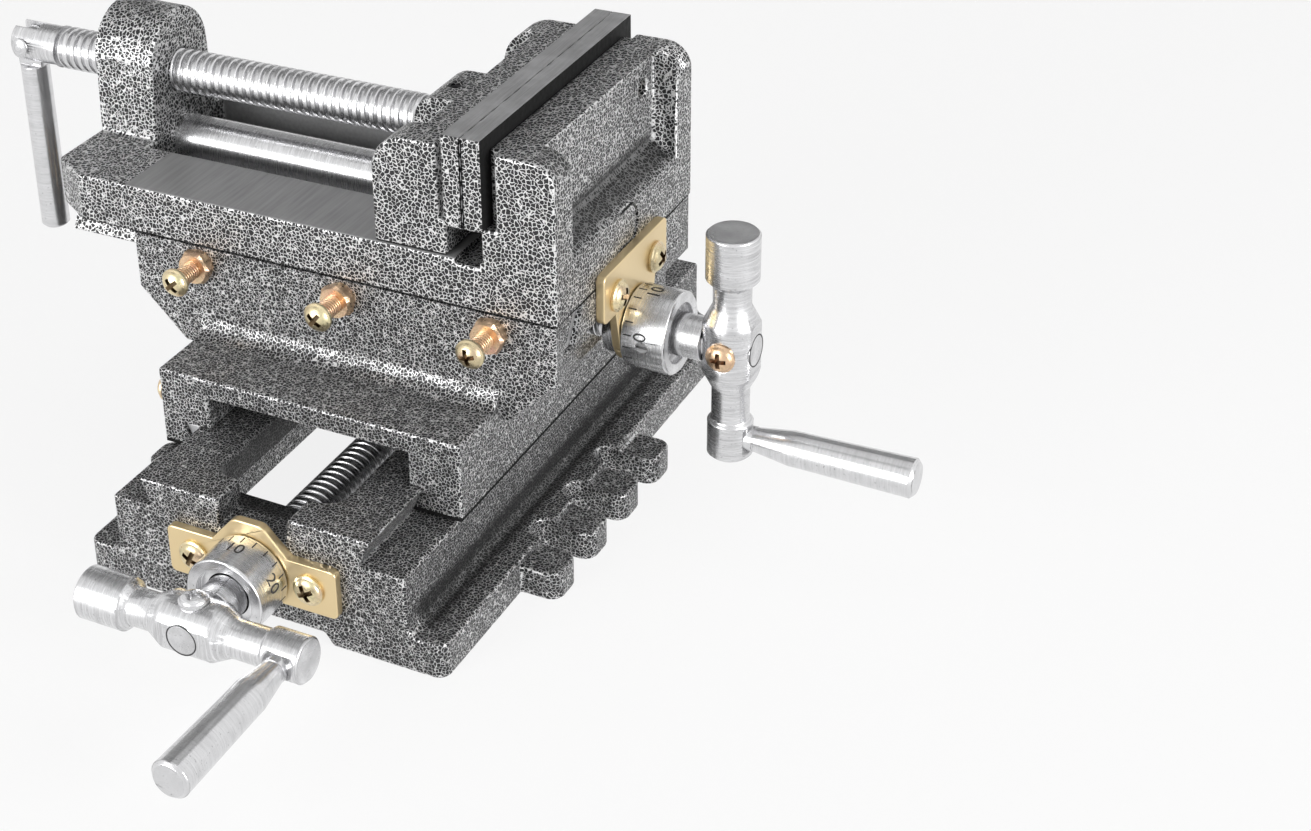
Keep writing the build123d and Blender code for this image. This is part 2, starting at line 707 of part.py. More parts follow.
# Bed casting with the fixed jaw and the screw boss
with BuildPart() as bed:
    with BuildSketch(Plane.XY.offset(bed_bottom)):
        with BuildLine():
            Polyline(
                (bed_left, -bed_half + bed_corner_cut_y),
                (bed_left + bed_corner_cut_x, -bed_half),
                (bed_right, -bed_half),
                (bed_right, bed_half),
                (bed_left + bed_corner_cut_x, bed_half),
                (bed_left, bed_half - bed_corner_cut_y),
                close=True,
            )
        make_face()
    extrude(amount=bed_thickness)
    front_root = -bed_root + gib_gap - slide_clearance
    with BuildSketch(Plane.YZ.offset(bed_left)):
        with BuildLine():
            Polyline(
                (front_root, bed_bottom + 0.5),
                (front_root, bed_bottom),
                (front_root - bed_spread, dovetail_bottom),
                (bed_root + bed_spread, dovetail_bottom),
                (bed_root, bed_bottom),
                (bed_root, bed_bottom + 0.5),
                close=True,
            )
        make_face()
    extrude(amount=bed_right - bed_left)
    # Fixed jaw: ledge, wall and rounded back
    with BuildSketch(Plane.XZ):
        with BuildLine():
            Polyline(
                (fixed_casting_x, jaw_height),
                (fixed_casting_x, jaw_ledge_height),
                (fixed_ledge_x, jaw_ledge_height),
                (fixed_ledge_x, bed_top - 1),
                (bed_right, bed_top - 1),
                (bed_right, jaw_height - fixed_ear_radius),
            )
            RadiusArc((bed_right, jaw_height - fixed_ear_radius), (bed_right - fixed_ear_radius, jaw_height),
                      -fixed_ear_radius)
            Line((bed_right - fixed_ear_radius, jaw_height), (fixed_casting_x, jaw_height))
        make_face()
    extrude(amount=bed_half, both=True)
    with BuildSketch(Plane.XZ):
        with BuildLine():
            Polyline(
                (bed_right + 1, fixed_pocket_lip),
                (bed_right, fixed_pocket_lip),
                (fixed_wall_back, fixed_pocket_lip + pocket_floor_rise),
                (fixed_wall_back, jaw_height + 1),
                (bed_right + 1, jaw_height + 1),
                close=True,
            )
        make_face()
    extrude(amount=bed_half - ear_thickness, both=True, mode=Mode.SUBTRACT)
    with BuildSketch(Plane.XY.offset(jaw_ledge_height)):
        with Locations(((jaw_face_x + fixed_casting_x) / 2, 0)):
            Rectangle(plate_end_relief, plate_pad_width)
    extrude(amount=jaw_height - jaw_ledge_height)
    # Screw boss with an arched top
    with BuildSketch(Plane.YZ.offset(bed_left)):
        with BuildLine():
            Polyline(
                (-boss_arch_radius, boss_centre),
                (-boss_foot_width / 2, bed_top - 1),
                (boss_foot_width / 2, bed_top - 1),
                (boss_arch_radius, boss_centre),
                close=True,
            )
        make_face()
        with Locations((0, boss_centre)):
            Circle(boss_arch_radius)
    extrude(amount=boss_thickness)
    # Channel between the rails and the shallow groove beside the fixed jaw
    with BuildSketch(Plane.XY.offset(bed_channel_floor)):
        with Locations(((boss_right + fixed_ledge_x) / 2, 0)):
            Rectangle(fixed_ledge_x - boss_right, bed_channel_width)
    extrude(amount=bed_channel_depth + 1, mode=Mode.SUBTRACT)
    with BuildSketch(Plane.XY.offset(bed_top - relief_groove_depth)):
        with Locations((relief_groove_x + relief_groove_width / 2, 0)):
            Rectangle(relief_groove_width, bed_width)
    extrude(amount=relief_groove_depth + 1, mode=Mode.SUBTRACT)
    # Bores of the clamp screw and the guide rod
    with BuildSketch(Plane.YZ.offset(bed_left - 1)):
        with Locations((0, clamp_height)):
            Circle(clamp_radius + thread_clearance)
    extrude(amount=boss_thickness + 2, mode=Mode.SUBTRACT)
    with BuildSketch(Plane.YZ.offset(bed_left - 1)):
        with Locations((0, rod_height)):
            Circle(rod_radius + tapped_clearance)
    extrude(amount=bed_right - bed_left + 2, mode=Mode.SUBTRACT)
    # Tapped holes for the jaw plate's screws and the keeper
    with BuildSketch(Plane.YZ.offset(jaw_face_x - 1)):
        with Locations((-plate_screw_spacing / 2, plate_screw_height), (plate_screw_spacing / 2, plate_screw_height)):
            Circle(nut_screw_radius + tapped_clearance)
    extrude(amount=bed_right - jaw_face_x, mode=Mode.SUBTRACT)
    keeper_seat = Plane(origin=(bed_right, 0, x_keeper_screw_height), x_dir=(0, 1, 0), z_dir=(1, 0, 0))
    with BuildSketch(keeper_seat):
        with GridLocations(x_keeper_screw_spacing, 1, 2, 1):
            Circle(keeper_screw_radius + tapped_clearance)
    extrude(amount=-keeper_screw_bite, mode=Mode.SUBTRACT)

# Moving jaw
with BuildPart() as moving_jaw:
    jaw_foot = bed_top + slide_clearance
    jaw_round = moving_wall_back - moving_jaw_left
    with BuildSketch(Plane.XZ):
        with BuildLine():
            Polyline(
                (moving_wall_back, jaw_height),
                (moving_casting_x, jaw_height),
                (moving_casting_x, jaw_ledge_height),
                (moving_face_x - 1, jaw_ledge_height),
                (moving_face_x - 1, jaw_foot),
                (moving_jaw_left, jaw_foot),
                (moving_jaw_left, jaw_height - jaw_round),
            )
            RadiusArc((moving_jaw_left, jaw_height - jaw_round), (moving_wall_back, jaw_height), jaw_round)
        make_face()
    extrude(amount=bed_half, both=True)
    with BuildSketch(Plane.XZ):
        with BuildLine():
            Polyline(
                (moving_jaw_left - 1, moving_pocket_lip),
                (moving_jaw_left, moving_pocket_lip),
                (moving_wall_back, moving_pocket_lip + pocket_floor_rise),
                (moving_wall_back, jaw_height + 1),
                (moving_jaw_left - 1, jaw_height + 1),
                close=True,
            )
        make_face()
    extrude(amount=bed_half - ear_thickness, both=True, mode=Mode.SUBTRACT)
    with BuildSketch(Plane.XY.offset(jaw_ledge_height)):
        with Locations(((moving_face_x + moving_casting_x) / 2, 0)):
            Rectangle(plate_end_relief, plate_pad_width)
    extrude(amount=jaw_height - jaw_ledge_height)
    # Boss around the clamp screw's spigot
    with BuildSketch(Plane.XZ):
        with BuildLine():
            Polyline(
                (moving_boss_left + moving_boss_radius, moving_boss_height),
                (moving_wall_back + 1, moving_boss_height),
                (moving_wall_back + 1, jaw_foot + 1),
                (moving_jaw_left, jaw_foot + 1),
                (moving_boss_left, clamp_height - clamp_radius - 3),
                (moving_boss_left, moving_boss_height - moving_boss_radius),
            )
            RadiusArc((moving_boss_left, moving_boss_height - moving_boss_radius),
                      (moving_boss_left + moving_boss_radius, moving_boss_height), moving_boss_radius)
        make_face()
    extrude(amount=moving_boss_width / 2, both=True)
    # Tongue in the bed's channel
    tongue_width = bed_channel_width - 2 * free_clearance
    with BuildSketch(Plane.XY.offset(jaw_tongue_bottom)):
        with Locations(((moving_jaw_left + moving_face_x - 1) / 2, 0)):
            Rectangle(moving_face_x - 1 - moving_jaw_left, tongue_width)
    extrude(amount=jaw_foot - jaw_tongue_bottom + 1)
    with BuildSketch(Plane.YZ.offset(moving_jaw_left - 1)):
        with Locations((0, rod_height)):
            Circle(rod_radius + running_clearance)
    extrude(amount=moving_face_x, mode=Mode.SUBTRACT)
    with BuildSketch(Plane.YZ.offset(moving_boss_left)):
        with Locations((0, clamp_height)):
            Circle(clamp_spigot_radius + running_clearance)
    extrude(amount=clamp_spigot_length + 0.5, mode=Mode.SUBTRACT)
    with BuildSketch(Plane.XY.offset(clamp_height)):
        with Locations((moving_boss_left + clamp_neck_offset, 0)):
            Circle(retainer_radius + tapped_clearance)
    extrude(amount=moving_boss_height, mode=Mode.SUBTRACT)
    with BuildSketch(Plane.YZ.offset(moving_jaw_left)):
        with Locations((-plate_screw_spacing / 2, plate_screw_height), (plate_screw_spacing / 2, plate_screw_height)):
            Circle(nut_screw_radius + tapped_clearance)
    extrude(amount=moving_face_x, mode=Mode.SUBTRACT)


def jaw_plate(back_x, facing):
    """Steel jaw plate with a diamond pattern of shallow grooves on its clamping face."""
    face_x = back_x + facing * plate_thickness
    middle = jaw_ledge_height + plate_height / 2
    face = Plane(origin=(face_x, 0, middle), x_dir=(0, 1, 0), z_dir=(facing, 0, 0))
    reach = plate_width + 2 * plate_height
    with BuildPart() as plate:
        with BuildSketch(face):
            Rectangle(plate_width, plate_height)
        extrude(amount=-plate_thickness)
        lines = int(reach / groove_spacing)
        middles = [((line - lines / 2) * groove_spacing, 0) for line in range(lines + 1)]
        for turn in (groove_angle, -groove_angle):
            with BuildSketch(face):
                with Locations(*middles):
                    Rectangle(3 * plate_height, groove_width, rotation=turn)
            extrude(amount=-groove_depth, mode=Mode.SUBTRACT)
        for side in (-1, 1):
            seat = beside(face, across=side * plate_screw_spacing / 2, up=face.y_dir.Z * (plate_screw_height - middle))
            with BuildSketch(seat.offset(-plate_thickness)):
                Circle(nut_screw_radius + hole_clearance)
            extrude(amount=plate_thickness, mode=Mode.SUBTRACT)
            with BuildSketch(seat.offset(-groove_depth - nut_screw_head_height)):
                Circle(nut_screw_radius + hole_clearance)
            with BuildSketch(seat.offset(-groove_depth)):
                Circle(nut_screw_head_radius + hole_clearance)
            loft(mode=Mode.SUBTRACT)
            with BuildSketch(seat):
                Circle(nut_screw_head_radius + hole_clearance)
            extrude(amount=-groove_depth, mode=Mode.SUBTRACT)
    return plate


def jaw_plate_screws(back_x, facing):
    """Two countersunk screws just below a jaw plate's grooves."""
    face_x = back_x + facing * (plate_thickness - groove_depth)
    places = [Plane(origin=(face_x, side * plate_screw_spacing / 2, plate_screw_height), z_dir=(facing, 0, 0))
              for side in (-1, 1)]
    length = plate_thickness + plate_screw_bite
    return countersunk_screws(places, nut_screw_radius, length, nut_screw_head_radius, nut_screw_head_height)


fixed_jaw_plate = jaw_plate(jaw_face_x, -1)
with BuildPart() as moving_jaw_plate:
    mirror(fixed_jaw_plate.part, about=Plane.YZ.offset((jaw_face_x + moving_face_x) / 2))
fixed_jaw_plate_screws = jaw_plate_screws(jaw_face_x, -1)
moving_jaw_plate_screws = jaw_plate_screws(moving_face_x, 1)

# Guide rod, flush with both ends of the bed
rod_start = Plane(origin=(bed_left + 0.5, 0, rod_height), z_dir=(1, 0, 0))
with BuildPart() as guide_rod:
    with BuildSketch(rod_start):
        Circle(rod_radius)
    extrude(amount=bed_right - bed_left - 1)
    chamfer(guide_rod.edges().filter_by(GeomType.CIRCLE), 0.5)

# Clamp screw: spigot in the moving jaw, thread through the boss, slotted head for the handle
clamp_head_end = handle_pivot_x - clamp_head_margin
head_start = moving_boss_left - clamp_head_start
head_end = moving_boss_left - clamp_head_end
neck_start = -clamp_neck_offset - clamp_neck_width / 2
clamp_profile = [
    (-clamp_spigot_length, clamp_spigot_radius),
    (neck_start, clamp_spigot_radius),
    (neck_start, clamp_neck_radius),
    (neck_start + clamp_neck_width, clamp_neck_radius),
    (neck_start + clamp_neck_width, clamp_spigot_radius),
    (seat_clearance, clamp_spigot_radius),
]
clamp_profile += thread_profile(seat_clearance, head_start, clamp_radius, clamp_core_radius, clamp_pitch)
clamp_profile += [
    (head_start, clamp_head_radius),
    (head_end - edge_chamfer, clamp_head_radius),
    (head_end, clamp_head_radius - edge_chamfer),
]
clamp_blank = turned(clamp_profile, clamp_axis)
with BuildPart() as clamp_screw:
    add(clamp_blank.part)
    slot_depth = clamp_head_margin + tongue_radius + 2 * seat_clearance
    with BuildSketch(Plane.XY.offset(clamp_height)):
        with Locations((clamp_head_end + slot_depth / 2 - 1, 0)):
            Rectangle(slot_depth + 2, tongue_thickness + 2 * seat_clearance)
    extrude(amount=2 * clamp_head_radius, both=True, mode=Mode.SUBTRACT)
    with BuildSketch(Plane.XZ):
        with Locations((handle_pivot_x, clamp_height)):
            Circle(rivet_radius + tapped_clearance)
    extrude(amount=2 * clamp_head_radius, both=True, mode=Mode.SUBTRACT)

# Rivet across the slot, with a head on each side
rivet_seat = clamp_head_radius + running_clearance
rivet_axis = Plane(origin=(handle_pivot_x, 0, clamp_height), x_dir=(1, 0, 0), z_dir=(0, -1, 0))
rivet_profile = [
    (-rivet_seat - rivet_head_height, rivet_head_radius - rivet_head_crown),
    (-rivet_seat - rivet_head_rim, rivet_head_radius),
    (-rivet_seat, rivet_head_radius),
    (-rivet_seat, rivet_radius),
    (rivet_seat, rivet_radius),
    (rivet_seat, rivet_head_radius),
    (rivet_seat + rivet_head_rim, rivet_head_radius),
    (rivet_seat + rivet_head_height, rivet_head_radius - rivet_head_crown),
]
handle_rivet = turned(rivet_profile, rivet_axis)

# Folding handle: a flat tongue on the rivet and a round bar that clears the head as it swings
handle_shoulder = hypot(clamp_head_radius, clamp_head_margin) + free_clearance
handle_top = clamp_height - handle_shoulder
with BuildPart() as clamp_handle:
    with BuildSketch(Plane.XY.offset(handle_end_height)):
        with Locations((handle_pivot_x, 0)):
            Circle(handle_radius)
    extrude(amount=handle_top - handle_end_height)
    chamfer(clamp_handle.edges().filter_by(GeomType.CIRCLE).sort_by(Axis.Z)[0], edge_chamfer)
    with BuildSketch(Plane.XZ):
        with Locations((handle_pivot_x, clamp_height)):
            Circle(tongue_radius)
        with Locations((handle_pivot_x, clamp_height - handle_shoulder / 2)):
            Rectangle(2 * tongue_radius, handle_shoulder)
    extrude(amount=tongue_thickness / 2, both=True)
    with BuildSketch(Plane.XZ):
        with Locations((handle_pivot_x, clamp_height)):
            Circle(rivet_radius + running_clearance)
    extrude(amount=tongue_thickness, both=True, mode=Mode.SUBTRACT)

# Grub screw that keeps the clamp screw's spigot in the moving jaw
clamp_retainer = clamp_height + clamp_neck_radius + hole_clearance
retainer_top = moving_boss_height - retainer_sink
with BuildPart() as clamp_retaining_screw:
    with BuildSketch(Plane.XY.offset(clamp_retainer)):
        with Locations((moving_boss_left + clamp_neck_offset, 0)):
            Circle(retainer_radius)
    extrude(amount=retainer_top - clamp_retainer)
    with BuildSketch(Plane.XY.offset(retainer_top)):
        with Locations((moving_boss_left + clamp_neck_offset, 0)):
            RegularPolygon(radius=retainer_socket / 2, side_count=6, major_radius=False)
    extrude(amount=-retainer_socket, mode=Mode.SUBTRACT)

# Gibs: the upper one in front of the bed's dovetail, the lower one left of the base's rails
upper_slope = 1 / tan(radians(bed_dovetail_angle))
upper_low = channel_floor + gib_edge_gap
upper_high = saddle_top - gib_edge_gap
upper_inner = bed_root - gib_gap + slide_clearance
upper_gib_root = upper_inner + slide_clearance + upper_slope * (bed_bottom - upper_high)
saddle_middle_x = (saddle_left + saddle_right) / 2
front_plane = Plane(origin=(saddle_middle_x, 0, 0), x_dir=(0, -1, 0), z_dir=(-1, 0, 0))
upper_gib_length = saddle_right - saddle_left - 2 * gib_end_inset
upper_gib = slide_gib(upper_gib_root, upper_slope, upper_low, upper_high, upper_gib_length, front_plane)

lower_slope = 1 / tan(radians(rail_angle))
lower_low = saddle_foot + gib_edge_gap
lower_high = rail_top - gib_edge_gap
lower_gib_root = rail_root + slide_clearance + lower_slope * (lower_low - shoulder_height)
lower_height = lower_high - lower_low
with BuildPart() as lower_gib:
    with BuildSketch(Plane.XZ):
        with BuildLine():
            Polyline(
                (-lower_gib_root, lower_low),
                (-lower_gib_root - gib_thickness, lower_low),
                (-lower_gib_root - gib_thickness - lower_slope * lower_height, lower_high),
                (-lower_gib_root - lower_slope * lower_height, lower_high),
                close=True,
            )
        make_face()
    extrude(amount=lower_half - gib_end_inset, both=True)

# Gib screws with their locknuts; each screw's tip reaches the gib
upper_tip = upper_gib_root + gib_thickness + upper_slope * (upper_high - upper_gib_screw_height - gib_screw_radius)
upper_seats = [Plane(origin=(x, -bed_half, upper_gib_screw_height), x_dir=(1, 0, 0), z_dir=(0, -1, 0))
               for x in (-gib_screw_spacing, 0, gib_screw_spacing)]
lower_tip = lower_gib_root + gib_thickness + lower_slope * (lower_gib_screw_height + gib_screw_radius - lower_low)
lower_seats = [Plane(origin=(-saddle_lower_width / 2, y, lower_gib_screw_height), x_dir=(0, 1, 0), z_dir=(-1, 0, 0))
               for y in (-gib_screw_spacing, 0, gib_screw_spacing)]
upper_shank = bed_half + gib_screw_exposed - upper_tip - upper_gib_screw_relief
lower_shank = saddle_lower_width / 2 + gib_screw_exposed - lower_tip - seat_clearance
upper_gib_screws = pan_screws([seat.offset(gib_screw_exposed) for seat in upper_seats], gib_screw_radius,
                              upper_shank, gib_screw_head_radius, gib_screw_head_height)
lower_gib_screws = pan_screws([seat.offset(gib_screw_exposed) for seat in lower_seats], gib_screw_radius,
                              lower_shank, gib_screw_head_radius, gib_screw_head_height)
upper_gib_locknuts = locknuts(upper_seats, gib_screw_radius + 0.02, nut_flats, nut_thickness)
lower_gib_locknuts = locknuts(lower_seats, gib_screw_radius + 0.02, nut_flats, nut_thickness)

# Feed nuts, each held to the saddle by one countersunk screw
with BuildPart() as x_feed_nut:
    with BuildSketch(Plane.XY.offset(valley_floor)):
        with Locations((x_nut_x, 0)):
            Rectangle(nut_block_length, nut_block_width)
    extrude(amount=x_nut_top - valley_floor)
    lengthwise = x_feed_nut.edges().filter_by(Axis.X).group_by(Axis.Z)[0]
    chamfer(lengthwise, valley_corner_radius)
    with BuildSketch(Plane.YZ.offset(x_nut_x - nut_block_length)):
        with Locations((0, x_feed_height)):
            Circle(feed_radius + thread_clearance)
    extrude(amount=2 * nut_block_length, mode=Mode.SUBTRACT)
    with BuildSketch(Plane.XY.offset(valley_floor)):
        with Locations((x_nut_x, 0)):
            Circle(nut_screw_radius + tapped_clearance)
    extrude(amount=x_feed_height - valley_floor, mode=Mode.SUBTRACT)
with BuildPart() as y_feed_nut:
    with BuildSketch(Plane.XY.offset(y_nut_bottom)):
        Rectangle(nut_block_width, nut_block_length)
    extrude(amount=saddle_pocket_roof - y_nut_bottom)
    with BuildSketch(Plane.XZ.offset(-nut_block_length)):
        with Locations((0, y_feed_height)):
            Circle(feed_radius + thread_clearance)
    extrude(amount=2 * nut_block_length, mode=Mode.SUBTRACT)
    with BuildSketch(Plane.XY.offset(saddle_pocket_roof)):
        Circle(nut_screw_radius + tapped_clearance)
    extrude(amount=-nut_screw_bite, mode=Mode.SUBTRACT)
x_bite = x_feed_height - feed_radius - 2 * seat_clearance - saddle_pocket_roof
x_feed_nut_screw = countersunk_screws([Plane(origin=(x_nut_x, 0, saddle_pocket_roof), z_dir=(0, 0, -1))],
                                      nut_screw_radius, x_bite, nut_screw_head_radius, nut_screw_head_height)
y_bite = valley_floor - saddle_pocket_roof + nut_screw_bite - seat_clearance
y_feed_nut_screw = countersunk_screws([Plane.XY.offset(valley_floor)],
                                      nut_screw_radius, y_bite, nut_screw_head_radius, nut_screw_head_height)

# Keeper plate of the lower feed: a bar with a hump over the dial
with BuildPart() as y_keeper_plate:
    with BuildSketch(Plane.XZ.offset(-base_front)) as y_keeper_outline:
        with Locations((0, y_feed_height)):
            RectangleRounded(y_keeper_width, y_keeper_height, keeper_corner_radius)
        with BuildLine():
            Polyline(
                (-hump_base_half, y_feed_height),
                (-hump_base_half, y_feed_height + y_keeper_height / 2),
                (-hump_top_half, y_feed_height + y_keeper_hump),
                (hump_top_half, y_feed_height + y_keeper_hump),
                (hump_base_half, y_feed_height + y_keeper_height / 2),
                (hump_base_half, y_feed_height),
                close=True,
            )
        make_face()
        hump_corners = y_keeper_outline.vertices().group_by(Axis.Y)[-1]
        fillet(hump_corners, hump_corner_radius)
        with Locations((0, y_feed_height)):
            Circle(keeper_hole_radius, mode=Mode.SUBTRACT)
        with Locations((-y_keeper_screw_spacing / 2, y_feed_height), (y_keeper_screw_spacing / 2, y_feed_height)):
            Circle(keeper_screw_radius + plate_hole_clearance, mode=Mode.SUBTRACT)
    extrude(amount=keeper_thickness)

# Keeper plate of the upper feed: the bar is screwed to the bed and the tongue holds the screw
x_seat = Plane(origin=(bed_right, 0, 0), x_dir=(0, 1, 0), z_dir=(1, 0, 0))
with BuildPart() as x_keeper_plate:
    with BuildSketch(x_seat):
        with Locations((0, x_keeper_bar_height)):
            RectangleRounded(x_keeper_width, x_keeper_height, keeper_corner_radius)
        with BuildLine():
            Polyline(
                (-hump_base_half - 1, x_keeper_bar_height),
                (-hump_base_half - 1, x_keeper_bar_height - x_keeper_height / 2),
                (-collar_radius - 1, x_feed_height - tongue_shoulder_drop),
                (collar_radius + 1, x_feed_height - tongue_shoulder_drop),
                (hump_base_half + 1, x_keeper_bar_height - x_keeper_height / 2),
                (hump_base_half + 1, x_keeper_bar_height),
                close=True,
            )
        make_face()
        with Locations((0, x_feed_height)):
            Circle(collar_radius + keeper_rim)
            Circle(keeper_hole_radius, mode=Mode.SUBTRACT)
        with Locations((-x_keeper_screw_spacing / 2, x_keeper_screw_height),
                       (x_keeper_screw_spacing / 2, x_keeper_screw_height)):
            Circle(keeper_screw_radius + plate_hole_clearance, mode=Mode.SUBTRACT)
    extrude(amount=keeper_thickness)

y_keeper_seats = [Plane(origin=(x, base_front - keeper_thickness, y_feed_height), x_dir=(1, 0, 0), z_dir=(0, -1, 0))
                  for x in (-y_keeper_screw_spacing / 2, y_keeper_screw_spacing / 2)]
x_keeper_seats = [Plane(origin=(bed_right + keeper_thickness, y, x_keeper_screw_height), x_dir=(0, 1, 0), z_dir=(1, 0, 0))
                  for y in (-x_keeper_screw_spacing / 2, x_keeper_screw_spacing / 2)]
keeper_shank = keeper_thickness + keeper_screw_bite - 1
y_keeper_screws = pan_screws(y_keeper_seats, keeper_screw_radius, keeper_shank,
                             keeper_screw_head_radius, keeper_screw_head_height)
x_keeper_screws = pan_screws(x_keeper_seats, keeper_screw_radius, keeper_shank,
                             keeper_screw_head_radius, keeper_screw_head_height)

pieces = {
    "base": base,
    "saddle": saddle,
    "bed": bed,
    "moving_jaw": moving_jaw,
    "fixed_jaw_plate": fixed_jaw_plate,
    "moving_jaw_plate": moving_jaw_plate,
    "fixed_jaw_plate_screws": fixed_jaw_plate_screws,
    "moving_jaw_plate_screws": moving_jaw_plate_screws,
    "guide_rod": guide_rod,
    "clamp_screw": clamp_screw,
    "clamp_handle": clamp_handle,
    "handle_rivet": handle_rivet,
    "clamp_retaining_screw": clamp_retaining_screw,
    "upper_gib": upper_gib,
    "upper_gib_screws": upper_gib_screws,
    "upper_gib_locknuts": upper_gib_locknuts,
    "lower_gib": lower_gib,
    "lower_gib_screws": lower_gib_screws,
    "lower_gib_locknuts": lower_gib_locknuts,
    "x_feed_nut": x_feed_nut,
    "x_feed_nut_screw": x_feed_nut_screw,
    "y_feed_nut": y_feed_nut,
    "y_feed_nut_screw": y_feed_nut_screw,
    "x_keeper_plate": x_keeper_plate,
    "x_keeper_screws": x_keeper_screws,
    "y_keeper_plate": y_keeper_plate,
    "y_keeper_screws": y_keeper_screws,
}
for name, axis_plane, reach, crank_offset, screw_side, pin_direction in (
    ("x", x_feed, x_feed_reach, x_crank_offset, 1, (0, -1, 0)),
    ("y", y_feed, y_feed_reach, y_crank_offset, -1, (-1, 0, 0)),
):
    pieces[name + "_feed_screw"] = feed_screw(axis_plane, reach, crank_offset)
    pieces[name + "_dial"] = feed_dial(axis_plane, pin_direction)
    pieces[name + "_dial_pin"] = dial_pin(axis_plane, pin_direction)
    pieces[name + "_crank"] = crank(axis_plane, crank_offset, screw_side)
    pieces[name + "_crank_grip"] = crank_grip(axis_plane, crank_offset)
    pieces[name + "_crank_screw"] = crank_screw(axis_plane, crank_offset, screw_side)

os.makedirs("parts", exist_ok=True)
for name, piece in pieces.items():
    piece.part.label = name
    export_step(piece.part, f"parts/{name}.step")
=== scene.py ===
import math

import bmesh
import bpy
from mathutils import Matrix, Vector
from mathutils.geometry import intersect_line_line_2d, intersect_point_line


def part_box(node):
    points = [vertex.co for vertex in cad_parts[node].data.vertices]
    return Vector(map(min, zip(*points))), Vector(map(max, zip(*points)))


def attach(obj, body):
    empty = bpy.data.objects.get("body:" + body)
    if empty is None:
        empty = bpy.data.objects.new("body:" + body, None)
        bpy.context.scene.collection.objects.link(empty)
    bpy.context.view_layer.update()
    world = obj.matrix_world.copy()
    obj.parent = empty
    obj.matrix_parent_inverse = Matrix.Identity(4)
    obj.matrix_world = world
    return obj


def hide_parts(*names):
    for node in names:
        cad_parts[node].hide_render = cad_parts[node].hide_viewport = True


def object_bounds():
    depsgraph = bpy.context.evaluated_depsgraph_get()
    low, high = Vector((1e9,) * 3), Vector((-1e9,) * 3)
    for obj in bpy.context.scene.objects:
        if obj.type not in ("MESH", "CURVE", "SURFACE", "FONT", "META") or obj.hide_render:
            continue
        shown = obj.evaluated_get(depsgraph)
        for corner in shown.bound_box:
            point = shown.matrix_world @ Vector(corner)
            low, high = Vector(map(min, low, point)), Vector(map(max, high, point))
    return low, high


bl_info = {
    "name": "Cross Slide Vise",
    "version": (1, 0, 0),
    "blender": (4, 5, 0),
    "location": "3D View > Sidebar > Vise",
    "description": "Dresses a cross slide vise: castings, screws, dials, cranks and studio",
    "category": "Object",
}

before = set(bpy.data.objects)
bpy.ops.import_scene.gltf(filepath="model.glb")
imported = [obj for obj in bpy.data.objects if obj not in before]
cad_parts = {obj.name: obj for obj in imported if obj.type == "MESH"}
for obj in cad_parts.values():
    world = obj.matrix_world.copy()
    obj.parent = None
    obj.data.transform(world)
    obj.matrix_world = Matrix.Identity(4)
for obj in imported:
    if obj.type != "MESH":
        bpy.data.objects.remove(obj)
cad_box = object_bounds()
MM = 0.001
AXES = {"x": (1.0, 0.0, 0.0), "y": (0.0, 1.0, 0.0), "z": (0.0, 0.0, 1.0)}

# Places taken from the frame

bed_low, bed_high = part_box("bed")
saddle_low, saddle_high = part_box("saddle")
base_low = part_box("base")[0]
jaw_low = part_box("moving_jaw")[0]
rod_low, rod_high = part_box("guide_rod")
X_FEED = Vector((bed_high.x, 0.0, sum(value.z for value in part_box("x_dial")) / 2))
Y_FEED = Vector((0.0, base_low.y, sum(value.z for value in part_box("y_dial")) / 2))
CLAMP = Vector((jaw_low.x, 0.0, sum(value.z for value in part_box("handle_rivet")) / 2))
FEEDS = {"x": (X_FEED, (1, 0, 0)), "y": (Y_FEED, (0, -1, 0))}

# Sizes of the solids that their boxes don't give

BED_TOP = 105.25 * MM
BED_FOOT = 89.25 * MM
SCREW_RADIUS = 7.0 * MM
CLAMP_THREAD_START = -133.0 * MM
COLLAR_INSET = 4.3 * MM
DIAL_RADIUS = 13.0 * MM
DIGIT_LEVEL = 11.7 * MM
TICK_LEVEL = 4.3 * MM
PLATE_LAND = 0.9 * MM
GIB_RADIUS = 3.0 * MM
GIB_SPACING = 51.0 * MM
GIB_COUNT = 3
GIB_EXPOSED = 14.5 * MM

# How finely the scene's own forms are made

ROWS_PER_TURN = 12
HEAD_STEPS = 48
DOME_STEPS = 8
CASTING_SMOOTH = 38.0
SCREW_SMOOTH = 32.0

# The fitted lens

SENSOR_WIDTH = 36.0
FOCAL_LENGTH = 65.18
LENS_SHIFT = (0.1788, -0.1131)


# Sizes and colours

def measure(name, description, default, unit="LENGTH"):
    return bpy.props.FloatProperty(name=name, description=description, default=default, unit=unit)


def whole(name, description, default):
    return bpy.props.IntProperty(name=name, description=description, default=default)


def tone(name, description, *default):
    return bpy.props.FloatVectorProperty(name=name, description=description, default=default, size=3,
                                         subtype="COLOR")


